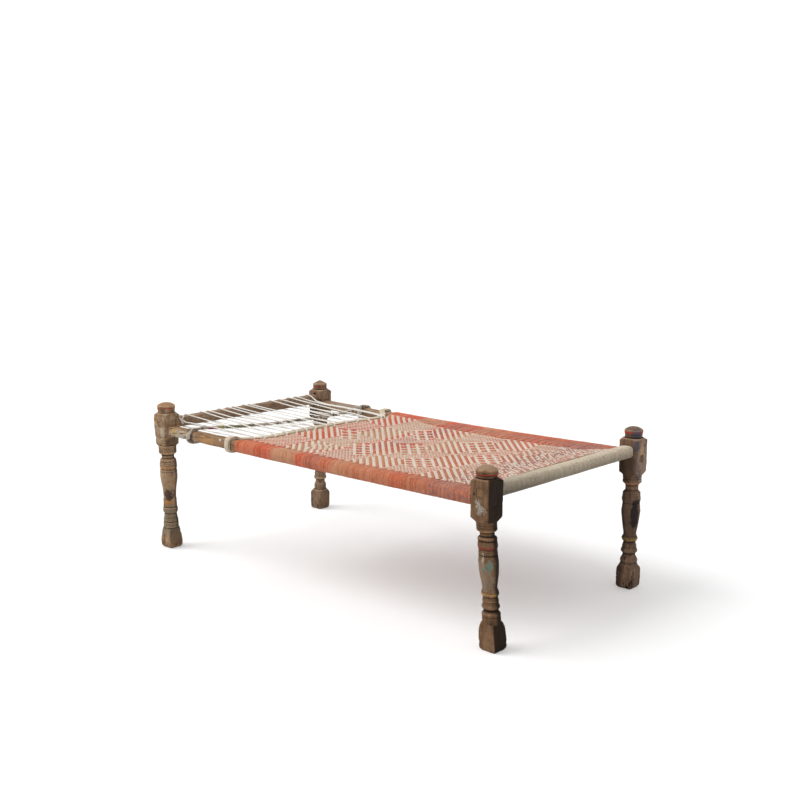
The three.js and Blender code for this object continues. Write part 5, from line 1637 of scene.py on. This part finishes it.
# Floor and light
def pale_sweep():
    """A pale floor that curves up into a wall behind the bed. Seen directly it is nearly white."""
    material, nodes, shader, place = new_material("pale_sweep")
    colour = nodes.mix(nodes.noise(place, 1.5, 2), (0.72, 0.72, 0.72), (0.76, 0.76, 0.76))
    nodes.link(colour, shader.inputs["Base Color"])
    shader.inputs["Roughness"].default_value = 0.9
    seen = nodes.add("ShaderNodeLightPath").outputs["Is Camera Ray"]
    wall = nodes.times(nodes.step(nodes.split(place)["Z"], 0.0, 3.0), 0.45)
    glow = nodes.paint((0, 0, 0), seen, nodes.plus(wall, 0.26), (1, 1, 1))
    nodes.link(glow, shader.inputs["Emission Color"])
    shader.inputs["Emission Strength"].default_value = 1

    def new_points(items):
        return [item for item in items if isinstance(item, bmesh.types.BMVert)]

    bm = bmesh.new()
    front, back = bm.verts.new((-12, -9, 0)), bm.verts.new((-12, 5, 0))
    bm.edges.new((front, back))
    bend = bmesh.ops.spin(
        bm, geom=[back], cent=(-12, 5, 4), axis=(1, 0, 0), angle=math.pi / 2, steps=24,
        use_merge=False,
    )
    wall_edge = bmesh.ops.extrude_vert_indiv(bm, verts=new_points(bend["geom_last"]))
    bmesh.ops.translate(bm, vec=(0, 0, 8), verts=wall_edge["verts"])
    sheet = bmesh.ops.extrude_edge_only(bm, edges=list(bm.edges))
    bmesh.ops.translate(bm, vec=(24, 0, 0), verts=new_points(sheet["geom"]))
    facing = Matrix.Rotation(CAMERA_ROUND, 3, "Z")
    bmesh.ops.rotate(bm, cent=(0, 0, 0), matrix=facing, verts=bm.verts)
    mesh = mesh_of(bm)
    mesh.shade_smooth()
    mesh.materials.append(material)
    sweep = place_object("sweep", mesh)


def soft_sun(name, towards, power, softness):
    """Even light from one direction, soft as from a large window."""
    data = bpy.data.lights.new(name, "SUN")
    data.angle = softness
    data.energy = power
    lamp = place_object(name, data)
    lamp.rotation_euler = Vector(towards).to_track_quat("Z", "Y").to_euler()


pale_sweep()
soft_sun("window", (-0.50, -0.45, 0.74), 1.9, 0.7)
soft_sun("skylight", (0.05, -0.1, 1.0), 0.6, 1.2)
world = bpy.data.worlds.new("studio")
world.use_nodes = True
background = world.node_tree.nodes["Background"].inputs
background["Color"].default_value = (1, 1, 1, 1)
background["Strength"].default_value = 0.55
scene.world = world
